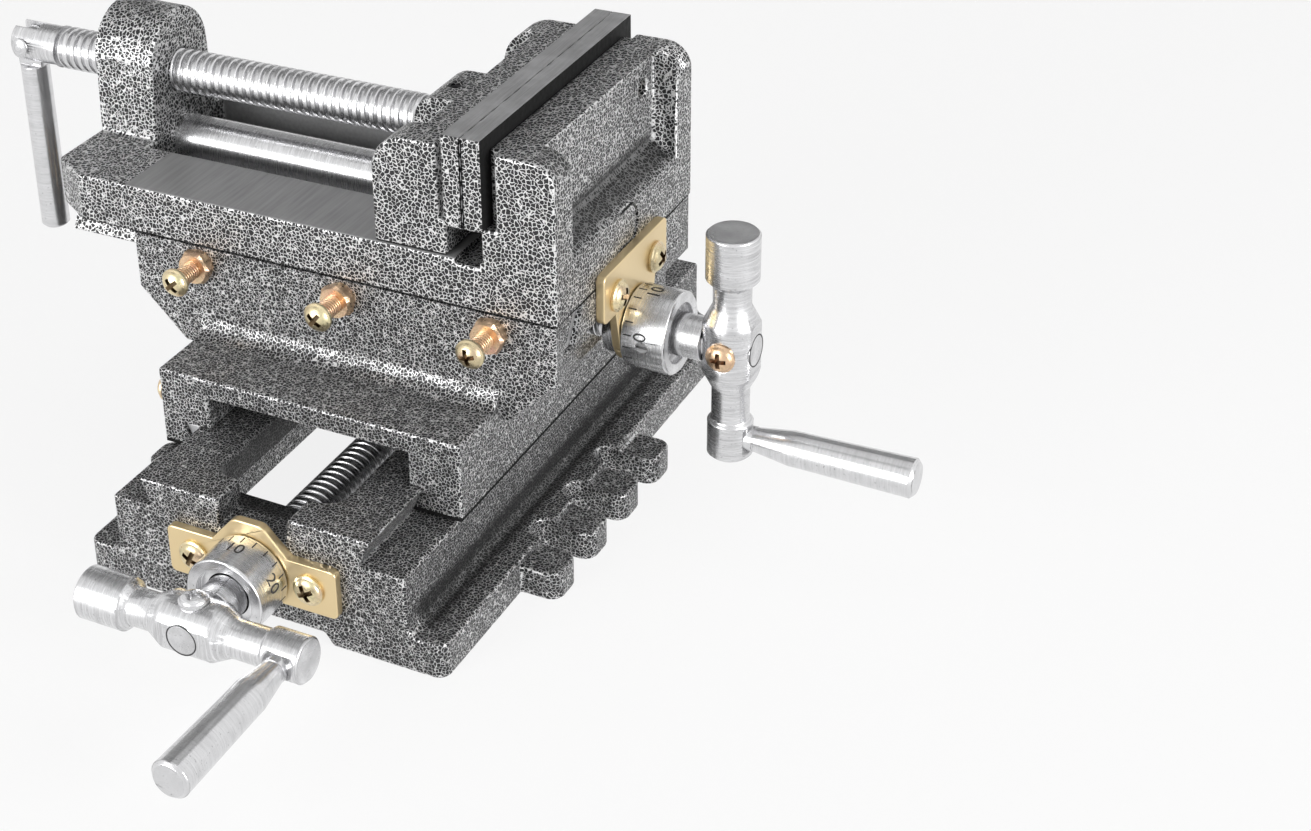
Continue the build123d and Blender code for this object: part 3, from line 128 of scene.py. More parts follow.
class ViseSizes(bpy.types.PropertyGroup):
    """Sizes of the forms that the solids leave plain."""

    casting_edge: measure("Casting edge", "Rounding of the castings' edges", 0.9 * MM)
    steel_edge: measure("Steel edge", "Rounding of the turned pieces' edges", 0.3 * MM)
    thread_pitch: measure("Thread pitch", "Pitch of the clamp screw and both feed screws", 3.0 * MM)
    thread_depth: measure("Thread depth", "Depth of the clamp and feed threads", 1.4 * MM)
    gib_pitch: measure("Gib screw pitch", "Pitch of the gib screws", 1.0 * MM)
    gib_thread_depth: measure("Gib thread depth", "Depth of the gib screws' thread", 0.55 * MM)
    tick_count: whole("Dial ticks", "Engraved lines around each dial", 20)
    number_count: whole("Dial numbers", "Numbers around each dial", 5)
    tick_length: measure("Tick length", "Length of a dial's lines", 2.6 * MM)
    tick_width: measure("Tick width", "Width of a dial's lines", 0.42 * MM)
    digit_height: measure("Digit height", "Height of a dial's digits", 4.2 * MM)


class ViseFinish(bpy.types.PropertyGroup):
    """Colours of the finishes."""

    paint_vein: tone("Paint veins", "Silver veins of the hammered enamel", 0.72, 0.72, 0.72)
    paint_spot: tone("Paint spots", "Dark spots of the hammered enamel", 0.022, 0.022, 0.023)
    spot_size: measure("Spot size", "Distance between the enamel's spots", 1.3 * MM)
    bare_iron: tone("Bare iron", "Machined faces of the castings", 0.30, 0.30, 0.302)
    steel: tone("Steel", "Turned and plated steel", 0.70, 0.70, 0.71)
    ground: tone("Ground steel", "Jaw plates and gibs", 0.42, 0.42, 0.425)
    zinc: tone("Yellow zinc", "Keeper plates and jaw plate screws", 0.48, 0.43, 0.255)
    pale_zinc: tone("Pale zinc", "Keeper screws and heads of the gib screws", 0.78, 0.66, 0.42)
    copper: tone("Reddish zinc", "Shanks of the gib screws, locknuts, upper crank's screw", 0.82, 0.58, 0.38)
    mark: tone("Marks", "Filled lines and numbers of the dials", 0.020, 0.020, 0.021)


class ViseStudio(bpy.types.PropertyGroup):
    """The floor, the lamps and the camera."""

    floor_colour: tone("Floor", "Colour of the floor", 0.93, 0.93, 0.93)
    floor_white: measure("Floor white", "Share of the floor seen as plain white", 0.86, "NONE")
    key_power: measure("Key lamp", "Power of the large lamp at the front left", 13.0, "POWER")
    side_power: measure("Side lamp", "Power of the lamp at the right", 14.0, "POWER")
    top_power: measure("Top lamp", "Power of the lamp overhead", 1.5, "POWER")
    room_level: measure("Room light", "Level of the even light from all sides", 0.12, "NONE")
    azimuth: measure("Azimuth", "Camera turned from the front to the right", math.radians(30.743), "ROTATION")
    elevation: measure("Elevation", "Camera raised above the table", math.radians(28.358), "ROTATION")
    roll: measure("Roll", "Camera turned about its own view", math.radians(-3.002), "ROTATION")
    distance: measure("Distance", "Camera from the vise's middle", 753.04 * MM)


def sizes():
    return bpy.context.scene.vise_sizes


def finish_colours():
    return bpy.context.scene.vise_finish


# Node trees

class Graph:
    """A node tree whose nodes are added one by one."""

    def __init__(self, tree):
        self.tree = tree

    def feed(self, socket, value):
        """Links or sets an input. A colour input takes a grey level too."""
        if isinstance(value, bpy.types.NodeSocket):
            self.tree.links.new(value, socket)
        elif socket.type == "RGBA":
            socket.default_value = (*(value if isinstance(value, tuple) else (value,) * 3), 1.0)
        else:
            socket.default_value = value

    def add(self, kind, inputs=None, **settings):
        """Adds a node with these settings, and with inputs by name or number."""
        node = self.tree.nodes.new(kind)
        for key, value in settings.items():
            setattr(node, key, value)
        for key, value in (inputs or {}).items():
            self.feed(node.inputs[key], value)
        return node

    def get(self, kind, inputs=None, output=0, **settings):
        """An added node's output."""
        return self.add(kind, inputs, **settings).outputs[output]

    def math(self, operation, *values):
        return self.get("ShaderNodeMath", dict(enumerate(values)), operation=operation)


# Materials

def scaled(colour, factor, limit=math.inf):
    """A lighter or darker colour, up to a limit."""
    return tuple(min(factor * value, limit) for value in colour)


def tinted(colour, *factors):
    """A colour with each channel made lighter or darker by its own factor."""
    return tuple(factor * value for factor, value in zip(factors, colour))


class Shade(Graph):
    """A principled material in object coordinates."""

    def __init__(self, name):
        self.material = bpy.data.materials.new(name)
        self.material.use_nodes = True
        super().__init__(self.material.node_tree)
        self.surface = self.tree.nodes["Principled BSDF"]
        self.place = self.get("ShaderNodeTexCoord", output="Object")

    def vector(self, operation, *values):
        return self.get("ShaderNodeVectorMath", dict(enumerate(values)), operation=operation)

    def attribute(self, name):
        return self.get("ShaderNodeAttribute", output="Fac", attribute_name=name)

    def noise(self, scale, detail=2.0, stretch=(1.0, 1.0, 1.0)):
        place = self.vector("MULTIPLY", self.place, scaled(stretch, scale))
        return self.get("ShaderNodeTexNoise", {"Vector": place, "Scale": 1.0, "Detail": detail}, "Fac")

    def ramp(self, value, *stops, smooth=False):
        """Greys between two stops, each a position and a level."""
        node = self.add("ShaderNodeValToRGB", {"Fac": value})
        node.color_ramp.interpolation = "EASE" if smooth else "LINEAR"
        for element, (position, level) in zip(node.color_ramp.elements, stops):
            element.position = position
            element.color = (level, level, level, 1.0)
        return node.outputs["Color"]

    def mix(self, factor, first, second):
        return self.get("ShaderNodeMix", {0: factor, 6: first, 7: second}, 2, data_type="RGBA")

    def veiled(self, base, value, low, high, share, colour):
        """The base under a colour whose share grows while the value runs from low to high."""
        return self.mix(self.ramp(value, (low, 0.0), (high, share)), base, colour)

    def inside(self, low, high, soft=0.0):
        """One inside a box of the vise's own frame, nought outside, with an inner border that fades."""
        centre = tuple((a + b) / 2 for a, b in zip(low, high))
        half = tuple((b - a) / 2 for a, b in zip(low, high))
        away = self.vector("ABSOLUTE", self.vector("SUBTRACT", self.place, centre))
        parts = self.add("ShaderNodeSeparateXYZ", {0: self.vector("SUBTRACT", away, half)}).outputs
        furthest = self.math("MAXIMUM", self.math("MAXIMUM", parts[0], parts[1]), parts[2])
        if soft:
            return self.ramp(self.math("MULTIPLY", furthest, -1.0 / soft), (0.0, 0.0), (1.0, 1.0))
        return self.math("LESS_THAN", furthest, 0.0)

    def bump(self, height, depth, strength):
        node = self.add("ShaderNodeBump", {"Height": height, "Distance": depth, "Strength": strength})
        self.feed(self.surface.inputs["Normal"], node.outputs["Normal"])

    def use(self, **values):
        for key, value in values.items():
            self.feed(self.surface.inputs[key.replace("_", " ")], value)


# Near black, for the painted joint shadow with oil and for the painted shade in hollows.
OIL_AND_SHADE = (0.008, 0.008, 0.008)


def hammered_enamel(name, bare, shadow_and_oil_boxes, shade_boxes, fineness, silver):
    """Grey and silver hammered enamel; bare iron, painted joint shadow with oil, and painted shade in boxes.
    """
    vein, spot, iron, spot_size = (getattr(finish_colours(), key)
                                   for key in ("paint_vein", "paint_spot", "bare_iron", "spot_size"))
    shade = Shade(name)
    wander = shade.get("ShaderNodeTexNoise", {"Vector": shade.place, "Scale": 700.0, "Detail": 1.0}, "Color")
    shift = shade.vector("MULTIPLY", shade.vector("SUBTRACT", wander, (0.5, 0.5, 0.5)), (1.1 * MM,) * 3)
    cells = shade.get("ShaderNodeTexVoronoi", {"Vector": shade.vector("ADD", shade.place, shift),
                                               "Scale": fineness / spot_size, "Randomness": 0.9},
                      "Distance", feature="DISTANCE_TO_EDGE")
    width = shade.math("MULTIPLY_ADD", shade.noise(420.0), 0.27 * silver, -0.03 * silver)
    width = shade.math("MAXIMUM", width, 0.012)
    # Wider silver veins on rounded edges, inner ones more: a painted highlight.
    width = shade.math("MULTIPLY", width, shade.math("MULTIPLY_ADD", shade.attribute("edge"), 1.3, 1.0))
    veins = shade.ramp(shade.math("DIVIDE", cells, width), (0.45, 1.0), (1.0, 0.0), smooth=True)
    silvery = shade.mix(shade.noise(2600.0), scaled(vein, 0.62), scaled(vein, 1.3, 0.9))
    spotted = shade.mix(shade.noise(900.0), scaled(spot, 0.4), scaled(spot, 1.5))
    colour = shade.mix(veins, spotted, silvery)
    roughness = shade.ramp(veins, (0.0, 0.34), (1.0, 0.40))
    metallic = shade.ramp(veins, (0.0, 0.0), (1.0, 0.75))
    height = veins
    if bare:
        mask = 0.0
        for box in bare:
            mask = shade.math("MAXIMUM", mask, shade.inside(*box))
        streaks = shade.noise(900.0, 3.0, (1.0, 0.05, 1.0))
        light = scaled(iron, 1.5)
        machined = shade.mix(streaks, scaled(iron, 0.72), light)
        machined = shade.veiled(machined, shade.noise(60.0, 3.0), 0.35, 0.75, 0.35, light)
        colour = shade.mix(mask, colour, machined)
        roughness = shade.mix(mask, roughness, 0.42)
        metallic = shade.mix(mask, metallic, 0.3)
        height = shade.mix(mask, height, shade.ramp(streaks, (0.3, 0.0), (0.7, 0.08)))
    # Near black bands of painted joint shadow with oil.
    for box in shadow_and_oil_boxes:
        shadow_and_oil = shade.inside(*box)
        colour = shade.mix(shadow_and_oil, colour, OIL_AND_SHADE)
        roughness = shade.mix(shadow_and_oil, roughness, 0.8)
    # Painted shade in hollows, fading in over 3 mm inside the box's border.
    for box in shade_boxes:
        recess_shade = shade.math("MULTIPLY", shade.inside(*box, 3 * MM), 0.75)
        colour = shade.mix(recess_shade, colour, OIL_AND_SHADE)
    shade.use(Base_Color=colour, Roughness=roughness, Metallic=metallic, Specular_IOR_Level=0.25)
    shade.bump(height, 0.12 * MM, 0.6)
    return shade.material


def turned_steel(name, axis, marks=1.0, rough=0.24):
    """Bright steel with the fine rings of the lathe around an axis."""
    colour = finish_colours().steel
    shade = Shade(name)
    across = tuple(value or 0.04 for value in AXES[axis])
    drawn = tuple(value or 0.35 for value in AXES[axis])
    both = shade.math("ADD", shade.math("MULTIPLY", shade.noise(3600.0, 2.0, across), 0.6),
                      shade.math("MULTIPLY", shade.noise(1500.0, 2.0, across), 0.4))
    base = shade.mix(shade.ramp(both, (0.34, 0.0), (0.66, 1.0)),
                     scaled(colour, 1 - 0.26 * marks), scaled(colour, 1 + 0.16 * marks, 0.95))
    base = shade.veiled(base, shade.noise(300.0, 4.0, drawn), 0.50, 0.75, 0.3, scaled(colour, 0.6))
    base = shade.veiled(base, shade.noise(1500.0), 0.66, 0.74, 0.6, scaled(colour, 0.25))
    roughness = shade.ramp(both, (0.25, rough + 0.08 * marks), (0.75, rough - 0.04))
    shade.use(Base_Color=base, Roughness=roughness, Metallic=1.0)
    shade.bump(both, 0.02 * MM * marks, 0.5)
    return shade.material


def yellow_zinc(name, zinc):
    """Zinc plate with its faint pink and green tints, a painted highlight on its edges and painted shade in a
    screw's cross.
    """
    shade = Shade(name)
    tint = shade.noise(170.0, 3.0)
    cloth = shade.noise(900.0, 3.0)
    base = shade.mix(shade.ramp(tint, (0.25, 1.0), (0.48, 0.0)), zinc, tinted(zinc, 0.95, 0.80, 0.92))
    base = shade.veiled(base, tint, 0.56, 0.8, 0.8, tinted(zinc, 0.82, 1.0, 0.92))
    base = shade.veiled(base, cloth, 0.45, 0.8, 0.6, scaled(zinc, 0.5))
    base = shade.veiled(base, shade.noise(90.0, 3.0), 0.42, 0.62, 0.4, scaled(zinc, 0.45))
    # Lighter on rounded edges: a painted highlight.
    edge_highlight = shade.math("MULTIPLY", shade.attribute("edge"), 0.5)
    base = shade.mix(edge_highlight, base, scaled(zinc, 1.25, 1.0))
    # Dark in the screws' cross recesses: painted shade.
    cross_shade = shade.math("MULTIPLY", shade.attribute("recess"), 0.85)
    base = shade.mix(cross_shade, base, tinted(zinc, 0.10, 0.06, 0.04))
    shade.use(Base_Color=base, Roughness=shade.ramp(cloth, (0.3, 0.24), (0.7, 0.38)), Metallic=1.0)
    shade.bump(cloth, 0.03 * MM, 0.4)
    return shade.material


def ground_steel(name, along):
    """Ground steel with grinding lines along one axis."""
    ground = finish_colours().ground
    shade = Shade(name)
    lines = shade.noise(2400.0, 3.0, tuple(0.03 if value else 1.0 for value in AXES[along]))
    base = shade.mix(lines, scaled(ground, 0.6), scaled(ground, 1.6))
    base = shade.veiled(base, shade.noise(120.0, 4.0), 0.45, 0.75, 0.5, scaled(ground, 1.7))
    shade.use(Base_Color=base, Roughness=shade.ramp(lines, (0.3, 0.30), (0.7, 0.46)), Metallic=0.85)
    shade.bump(lines, 0.02 * MM, 0.5)
    return shade.material


def dark_metal(name, colour, rough):
    """Blackened or raw metal with a mottled face, also the near black painted shade on the fixed jaw plate's
    back.
    """
    shade = Shade(name)
    cloud = shade.noise(500.0, 4.0)
    roughness = shade.ramp(cloud, (0.3, rough - 0.08), (0.7, rough + 0.1))
    shade.use(Base_Color=shade.mix(cloud, scaled(colour, 0.6), scaled(colour, 1.5)), Roughness=roughness,
              Metallic=0.8)
    shade.bump(cloud, 0.05 * MM, 0.4)
    return shade.material


def mark_fill(name):
    """Black filling of the dial marks, thin where it is rubbed away."""
    shade = Shade(name)
    base = shade.veiled(tuple(finish_colours().mark), shade.noise(2600.0), 0.55, 0.8, 0.6, 0.2)
    shade.use(Base_Color=base, Roughness=0.6)
    return shade.material


def material_named(name, builder, *values, **settings):
    return bpy.data.materials.get(name) or builder(name, *values, **settings)


def plated(name, key):
    return material_named(name, yellow_zinc, tuple(getattr(finish_colours(), key)))


def zinc():
    return plated("yellow_zinc", "zinc")


def pale_zinc():
    return plated("pale_zinc", "pale_zinc")


def copper_zinc():
    return plated("copper_zinc", "copper")


def steel(axis):
    return material_named(f"turned_steel_{axis}", turned_steel, axis)


def smooth_steel(axis):
    return material_named(f"smooth_steel_{axis}", turned_steel, axis, marks=0.35, rough=0.22)


# Rounded copies of the solids

def new_object(name, data):
    piece = bpy.data.objects.new(name, data)
    bpy.context.scene.collection.objects.link(piece)
    return piece


def mesh_from(name, copy):
    """A mesh from an edited one, which is freed."""
    mesh = bpy.data.meshes.new(name)
    copy.to_mesh(mesh)
    copy.free()
    return mesh


def evaluated_mesh(piece):
    """A new mesh with the piece's modifiers applied."""
    bpy.context.view_layer.update()
    graph = bpy.context.evaluated_depsgraph_get()
    return bpy.data.meshes.new_from_object(piece.evaluated_get(graph))


def baked(piece):
    """The piece with its modifiers applied."""
    mesh, old = evaluated_mesh(piece), piece.data
    piece.modifiers.clear()
    piece.data = mesh
    bpy.data.meshes.remove(old)
    mesh.name = piece.name
    return piece


def drop(*pieces):
    for piece in pieces:
        mesh = piece.data
        bpy.data.objects.remove(piece)
        bpy.data.meshes.remove(mesh)


def cad_copy(node):
    """A merged copy of a CAD node's mesh with its flat faces joined."""
    copy = bmesh.new()
    copy.from_mesh(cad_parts[node].data)
    bmesh.ops.remove_doubles(copy, verts=copy.verts, dist=2e-6)
    bmesh.ops.dissolve_limit(copy, angle_limit=math.radians(0.4), verts=copy.verts, edges=copy.edges)
    return copy


def room_inside(loop):
    """How far the face reaches inwards from one of its edges, at its narrowest."""
    start, end = loop.vert.co, loop.link_loop_next.vert.co
    along = (end - start).normalized()
    inward = loop.face.normal.cross(along)
    least = 1.0
    for share in (0.08, 0.5, 0.92):
        point = start.lerp(end, share)
        for other in loop.face.loops:
            near, far = other.vert.co - point, other.link_loop_next.vert.co - point
            first, second = near.dot(along), far.dot(along)
            if other == loop or first * second > 0.0 or abs(second - first) < 1e-9:
                continue
            reach = near.dot(inward) - first * (far - near).dot(inward) / (second - first)
            if reach > 1e-6:
                least = min(least, reach)
    return least


def turn_radius(edge, sharp):
    """The radius of the curve that a short edge belongs to."""
    direction = (edge.verts[1].co - edge.verts[0].co).normalized()
    turn = 0.0
    for vert in edge.verts:
        for other in vert.link_edges:
            if other != edge and other in sharp:
                cosine = abs((other.verts[1].co - other.verts[0].co).normalized().dot(direction))
                turn = max(turn, math.acos(min(cosine, 1.0)))
    return edge.calc_length() / turn if turn > 0.02 else 1.0


def soft_edges(copy, width, shortest, spare=None):
    """The sharp edges that have room for a rounding of this width."""
    least_angle = math.radians(28.0)
    sharp = {edge for edge in copy.edges
             if len(edge.link_faces) == 2 and edge.calc_face_angle(0.0) > least_angle}
    chosen = []
    for edge in sharp:
        length = edge.calc_length()
        if length < 0.3 * shortest or (length < shortest and turn_radius(edge, sharp) < 2.6 * width):
            continue
        if spare and spare((edge.verts[0].co + edge.verts[1].co) / 2):
            continue
        if min(room_inside(loop) for loop in edge.link_loops) > 2.1 * width:
            chosen.append(edge)
    return sorted(chosen, key=lambda edge: edge.index)


def rounded(copy, edges, width, steps=2):
    """Rounds edges and marks the new faces for a painted highlight, inner ones more than outer ones."""
    mark = copy.faces.layers.float.get("edge") or copy.faces.layers.float.new("edge")
    made = bmesh.ops.bevel(copy, geom=edges, offset=width, offset_type="OFFSET", segments=steps, profile=0.5,
                           affect="EDGES", clamp_overlap=False, loop_slide=True)
    for face in made["faces"]:
        middle = face.calc_center_median()
        beside = {other for edge in face.edges for other in edge.link_faces} - {face}
        lift = sum((other.calc_center_median() - middle).normalized().dot(face.normal) for other in beside)
        face[mark] = 1.0 if lift > 0.0 else 0.3


def crossings(copy):
    """The places where two roundings ran over each other on a face."""
    found = []
    for face in copy.faces:
        if len(face.verts) < 6:
            continue
        flat = face.normal.to_track_quat("Z", "Y").to_matrix().transposed()
        points = [(flat @ vert.co).to_2d() for vert in face.verts]
        count = len(points)
        for first in range(count - 1):
            for second in range(first + 2, count - (first == 0)):
                if intersect_line_line_2d(points[first], points[first + 1],
                                          points[second], points[(second + 1) % count]):
                    found.append(face.verts[first].co.lerp(face.verts[first + 1].co, 0.5))
    return found


def nearest(place, start, end):
    """The point between two ends that is nearest to a place."""
    share = intersect_point_line(place, start, end)[1]
    return start.lerp(end, min(max(share, 0.0), 1.0))


def same_arc(first, ends):
    """The short edges that carry on smoothly from one of them."""
    found, waiting = {first}, [first]
    while waiting:
        start, end = ends[waiting.pop()]
        for other, (near, far) in ends.items():
            if other in found or max((end - start).length, (far - near).length) > 2.6 * MM:
                continue
            if min((one - two).length for one in (start, end) for two in (near, far)) > 1e-6:
                continue
            turn = (end - start).angle(far - near)
            if min(turn, math.pi - turn) < math.radians(30):
                found.add(other)
                waiting.append(other)
    return found


def rounded_casting(node, width, spare):
    """A casting's shape with its edges rounded, less the arcs whose rounding would cross another one."""
    left_out = set()
    for reach in (1.3 * width, 1.3 * width, 2.6 * width, 4.0 * width):
        copy = cad_copy(node)
        copy.edges.index_update()
        edges = [edge for edge in soft_edges(copy, width, 1.0 * MM, spare) if edge.index not in left_out]
        ends = {edge.index: tuple(vert.co.copy() for vert in edge.verts) for edge in edges}
        rounded(copy, edges, width, 3)
        for place in crossings(copy):
            for index, (start, end) in ends.items():
                if (place - nearest(place, start, end)).length < reach and (end - start).length < 15 * MM:
                    left_out |= same_arc(index, ends)
    return copy


def cut_away(copy, axis, low, high):
    """Removes what lies between two planes across an axis and closes both cuts."""
    index = "xyz".index(axis)
    for level in (low, high):
        point = [0.0, 0.0, 0.0]
        point[index] = level
        bmesh.ops.bisect_plane(copy, geom=copy.verts[:] + copy.edges[:] + copy.faces[:], dist=1e-7,
                               plane_co=point, plane_no=AXES[axis])
    gone = [face for face in copy.faces if low < face.calc_center_median()[index] < high]
    bmesh.ops.delete(copy, geom=gone, context="FACES")
    bmesh.ops.holes_fill(copy, edges=[edge for edge in copy.edges if edge.is_boundary])
    bmesh.ops.recalc_face_normals(copy, faces=copy.faces)


def smooth_object(name, copy, sharp):
    """An object from an edited mesh, smooth between its sharp edges."""
    mesh = mesh_from(name, copy)
    mesh.polygons.foreach_set("use_smooth", [True] * len(mesh.polygons))
    mesh.set_sharp_from_angle(angle=math.radians(sharp))
    return new_object(name, mesh)


def finished(name, copy, material):
    """A piece from an edited mesh, its flat faces shaded flat up to their roundings."""
    piece = smooth_object(name, copy, CASTING_SMOOTH)
    piece.data.materials.append(material)
    weighted = piece.modifiers.new("weighted", "WEIGHTED_NORMAL")
    weighted.keep_sharp = True
    weighted.weight = 100
    return baked(piece)


def settle(piece, body, slot, *nodes):
    """Fixes a piece to its body, in place of the CAD nodes that it dresses."""
    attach(piece, body)
    if nodes:
        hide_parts(*nodes)
    return piece


def dressed(name, node, body, slot, material, width, shortest=None):
    """A CAD node's shape with its edges rounded, set in the node's place."""
    copy = cad_copy(node)
    rounded(copy, soft_edges(copy, width, shortest or width), width)
    return settle(finished(name, copy, material), body, slot, node)


def repaint(piece, *coats):
    """Gives the faces that a test names a further material, each coat a material and its test."""
    for index, (material, covers) in enumerate(coats, 1):
        piece.data.materials.append(material)
        for face in piece.data.polygons:
            if face.material_index == 0 and covers(face.center):
                face.material_index = index


# Turned and cut forms

def pointing(axis):
    """The turn that points a z axis in a direction."""
    return Vector(axis).to_track_quat("Z", "Y")


def axis_place(origin, axis, turn=0.0):
    """A matrix whose z axis points along the given direction from the origin."""
    turned = pointing(axis).to_matrix().to_4x4()
    return Matrix.Translation(Vector(origin)) @ turned @ Matrix.Rotation(turn, 4, "Z")


def about(radius, turn, height):
    """A point given by its radius, turn and height."""
    return Vector((radius * math.cos(turn), radius * math.sin(turn), height))


def ring(copy, place, height, radius, steps):
    """Adds points around the place's z axis. The radius is a number or follows from the turn."""
    turns = (2 * math.pi * step / steps for step in range(steps))
    return [copy.verts.new(place @ about(radius(turn) if callable(radius) else radius, turn, height))
            for turn in turns]


def skin(copy, rings):
    """Adds the faces from each ring of points to the next."""
    for low, high in zip(rings, rings[1:]):
        for step in range(len(low)):
            following = (step + 1) % len(low)
            copy.faces.new((low[step], low[following], high[following], high[step]))


def lathe(copy, points, place, steps=64):
    """Adds a closed turned form from (height, radius) points about the place's z axis."""
    rings = [ring(copy, place, height, radius, steps) for height, radius in points]
    skin(copy, rings)
    copy.faces.new(list(reversed(rings[0])))
    copy.faces.new(rings[-1])
    return copy


def annulus(copy, inner, outer, low, high, place, steps=56):
    """Adds a flat ring about the place's z axis."""
    corners = ((low, outer), (high, outer), (high, inner), (low, inner))
    rings = [ring(copy, place, height, radius, steps) for height, radius in corners]
    skin(copy, rings + rings[:1])
    return copy


def shank(name, place, low, high, radius, material, steps=32):
    """A plain round bar between two heights on the place's z axis."""
    return finished(name, lathe(bmesh.new(), [(low, radius), (high, radius)], place, steps), material)


def carved(name, body, cutter):
    """The body's mesh less the cutter's, both given as edited meshes."""
    parts = [new_object(f"{name}_{label}", mesh_from(f"{name}_{label}", copy))
             for label, copy in (("body", body), ("cutter", cutter))]
    knife = parts[0].modifiers.new("carve", "BOOLEAN")
    knife.operation = "DIFFERENCE"
    knife.solver = "EXACT"
    knife.use_self = True
    knife.object = parts[1]
    mesh = evaluated_mesh(parts[0])
    drop(*parts)
    result = bmesh.new()
    result.from_mesh(mesh)
    bpy.data.meshes.remove(mesh)
    return result


def pan_head(radius, height, recess, axis):
    """A domed pan head with a cross recess, on the origin, facing along the axis."""
    place = axis_place((0, 0, 0), axis)
    rim, bevel = 0.28 * height, 0.12 * MM
    points = [(0.0, radius - bevel), (bevel, radius), (rim, radius)]
    for step in range(1, DOME_STEPS):
        turn = math.radians(90) * step / DOME_STEPS
        points.append((rim + (height - rim) * math.sin(turn),
                       radius - 0.10 * radius - 0.90 * radius * (1 - math.cos(turn))))
    points.append((height, 0.12 * radius))
    body = lathe(bmesh.new(), points, place, HEAD_STEPS)
    cutter = bmesh.new()
    top, low, half = 1.1 * height, height - recess, 0.15 * radius
    outline = [(-0.70 * radius, top), (-0.32 * radius, low), (0.32 * radius, low), (0.70 * radius, top)]
    for turn in (0.0, math.pi / 2):
        wing = axis_place((0, 0, 0), axis, turn)
        near, far = ([cutter.verts.new(wing @ Vector((x, side, z))) for x, z in outline]
                     for side in (-half, half))
        cutter.faces.new(near)
        cutter.faces.new(list(reversed(far)))
        for index in range(4):
            following = (index + 1) % 4
            cutter.faces.new((near[following], near[index], far[index], far[following]))
    bmesh.ops.recalc_face_normals(cutter, faces=cutter.faces)
    head = carved("pan_head", body, cutter)
    # Marks the faces of the cross recess, which the zinc darkens as painted shade.
    cross = head.faces.layers.float.new("recess")
    back = place.inverted()
    for face in head.faces:
        middle = back @ face.calc_center_median()
        normal = back.to_3x3() @ face.normal
        outward = middle.to_2d().normalized()
        across = outward.x * normal.y - outward.y * normal.x
        deep = middle.to_2d().length < 0.4 * radius and middle.z < height - 0.5 * recess
        face[cross] = 1.0 if deep or abs(across) > 0.3 or outward.dot(normal.to_2d()) < -0.05 else 0.0
    return head


def hex_nut(flats, thickness, bore, axis):
    """A hexagon nut with chamfered corners on the origin."""
    place = axis_place((0, 0, 0), axis)
    nut = bmesh.new()
    corner, shoulder, chamfer = flats / math.sqrt(3), 0.11 * flats, 0.5 * MM

    def hexagon(limit):
        def reach(turn):
            flat = (turn + math.pi / 6) % (math.pi / 3) - math.pi / 6
            return min(flats / 2 / math.cos(flat), limit)
        return reach

    side, end, mouth = hexagon(corner), hexagon(0.965 * flats / 2), bore + chamfer
    profile = ((0.0, end), (shoulder, side), (thickness - shoulder, side), (thickness, end),
               (thickness, mouth), (thickness - chamfer, bore), (chamfer, bore), (0.0, mouth))
    rings = [ring(nut, place, height, radius, HEAD_STEPS) for height, radius in profile]
    skin(nut, rings + rings[:1])
    bmesh.ops.recalc_face_normals(nut, faces=nut.faces)
    return nut


# Geometry Nodes

class Shape(Graph):
    """A geometry tree with named inputs and one geometry output."""

    def __init__(self, name):
        super().__init__(bpy.data.node_groups.new(name, "GeometryNodeTree"))
        self.tree.interface.new_socket("Geometry", in_out="OUTPUT", socket_type="NodeSocketGeometry")
        self.inlet = self.add("NodeGroupInput")
        self.outlet = self.add("NodeGroupOutput")

    def inputs(self, **kinds):
        """Adds inputs to the tree, each a name and a kind."""
        labels = [name.replace("_", " ").capitalize() for name in kinds]
        for label, kind in zip(labels, kinds.values()):
            self.tree.interface.new_socket(label, in_out="INPUT", socket_type=f"NodeSocket{kind}")
        return [self.inlet.outputs[label] for label in labels]

    def xyz(self, **parts):
        """A vector from its components."""
        return self.get("ShaderNodeCombineXYZ", {key.upper(): value for key, value in parts.items()})

    def span(self, value, low, high, **settings):
        """Rises from nought to one while the value runs from low to high."""
        return self.get("ShaderNodeMapRange", {"Value": value, "From Min": low, "From Max": high}, **settings)

    def moved(self, geometry, **inputs):
        return self.get("GeometryNodeTransform", {"Geometry": geometry, **inputs})

    def line(self, count, **inputs):
        return self.get("GeometryNodeMeshLine", {"Count": count, **inputs}, mode="OFFSET")

    def turn(self, axis, angle):
        return self.get("FunctionNodeAxisAngleToRotation", {"Axis": axis, "Angle": angle})

    def instances(self, points, shape, turn):
        inputs = {"Points": points, "Instance": shape, "Rotation": turn}
        return self.get("GeometryNodeInstanceOnPoints", inputs)

    def end(self, geometry, material, smooth):
        realized = self.get("GeometryNodeRealizeInstances", {"Geometry": geometry})
        shaded = self.get("GeometryNodeSetShadeSmooth", {"Geometry": realized, "Shade Smooth": smooth})
        painted = self.get("GeometryNodeSetMaterial", {"Geometry": shaded, "Material": material})
        self.feed(self.outlet.inputs[0], painted)
        return self.tree


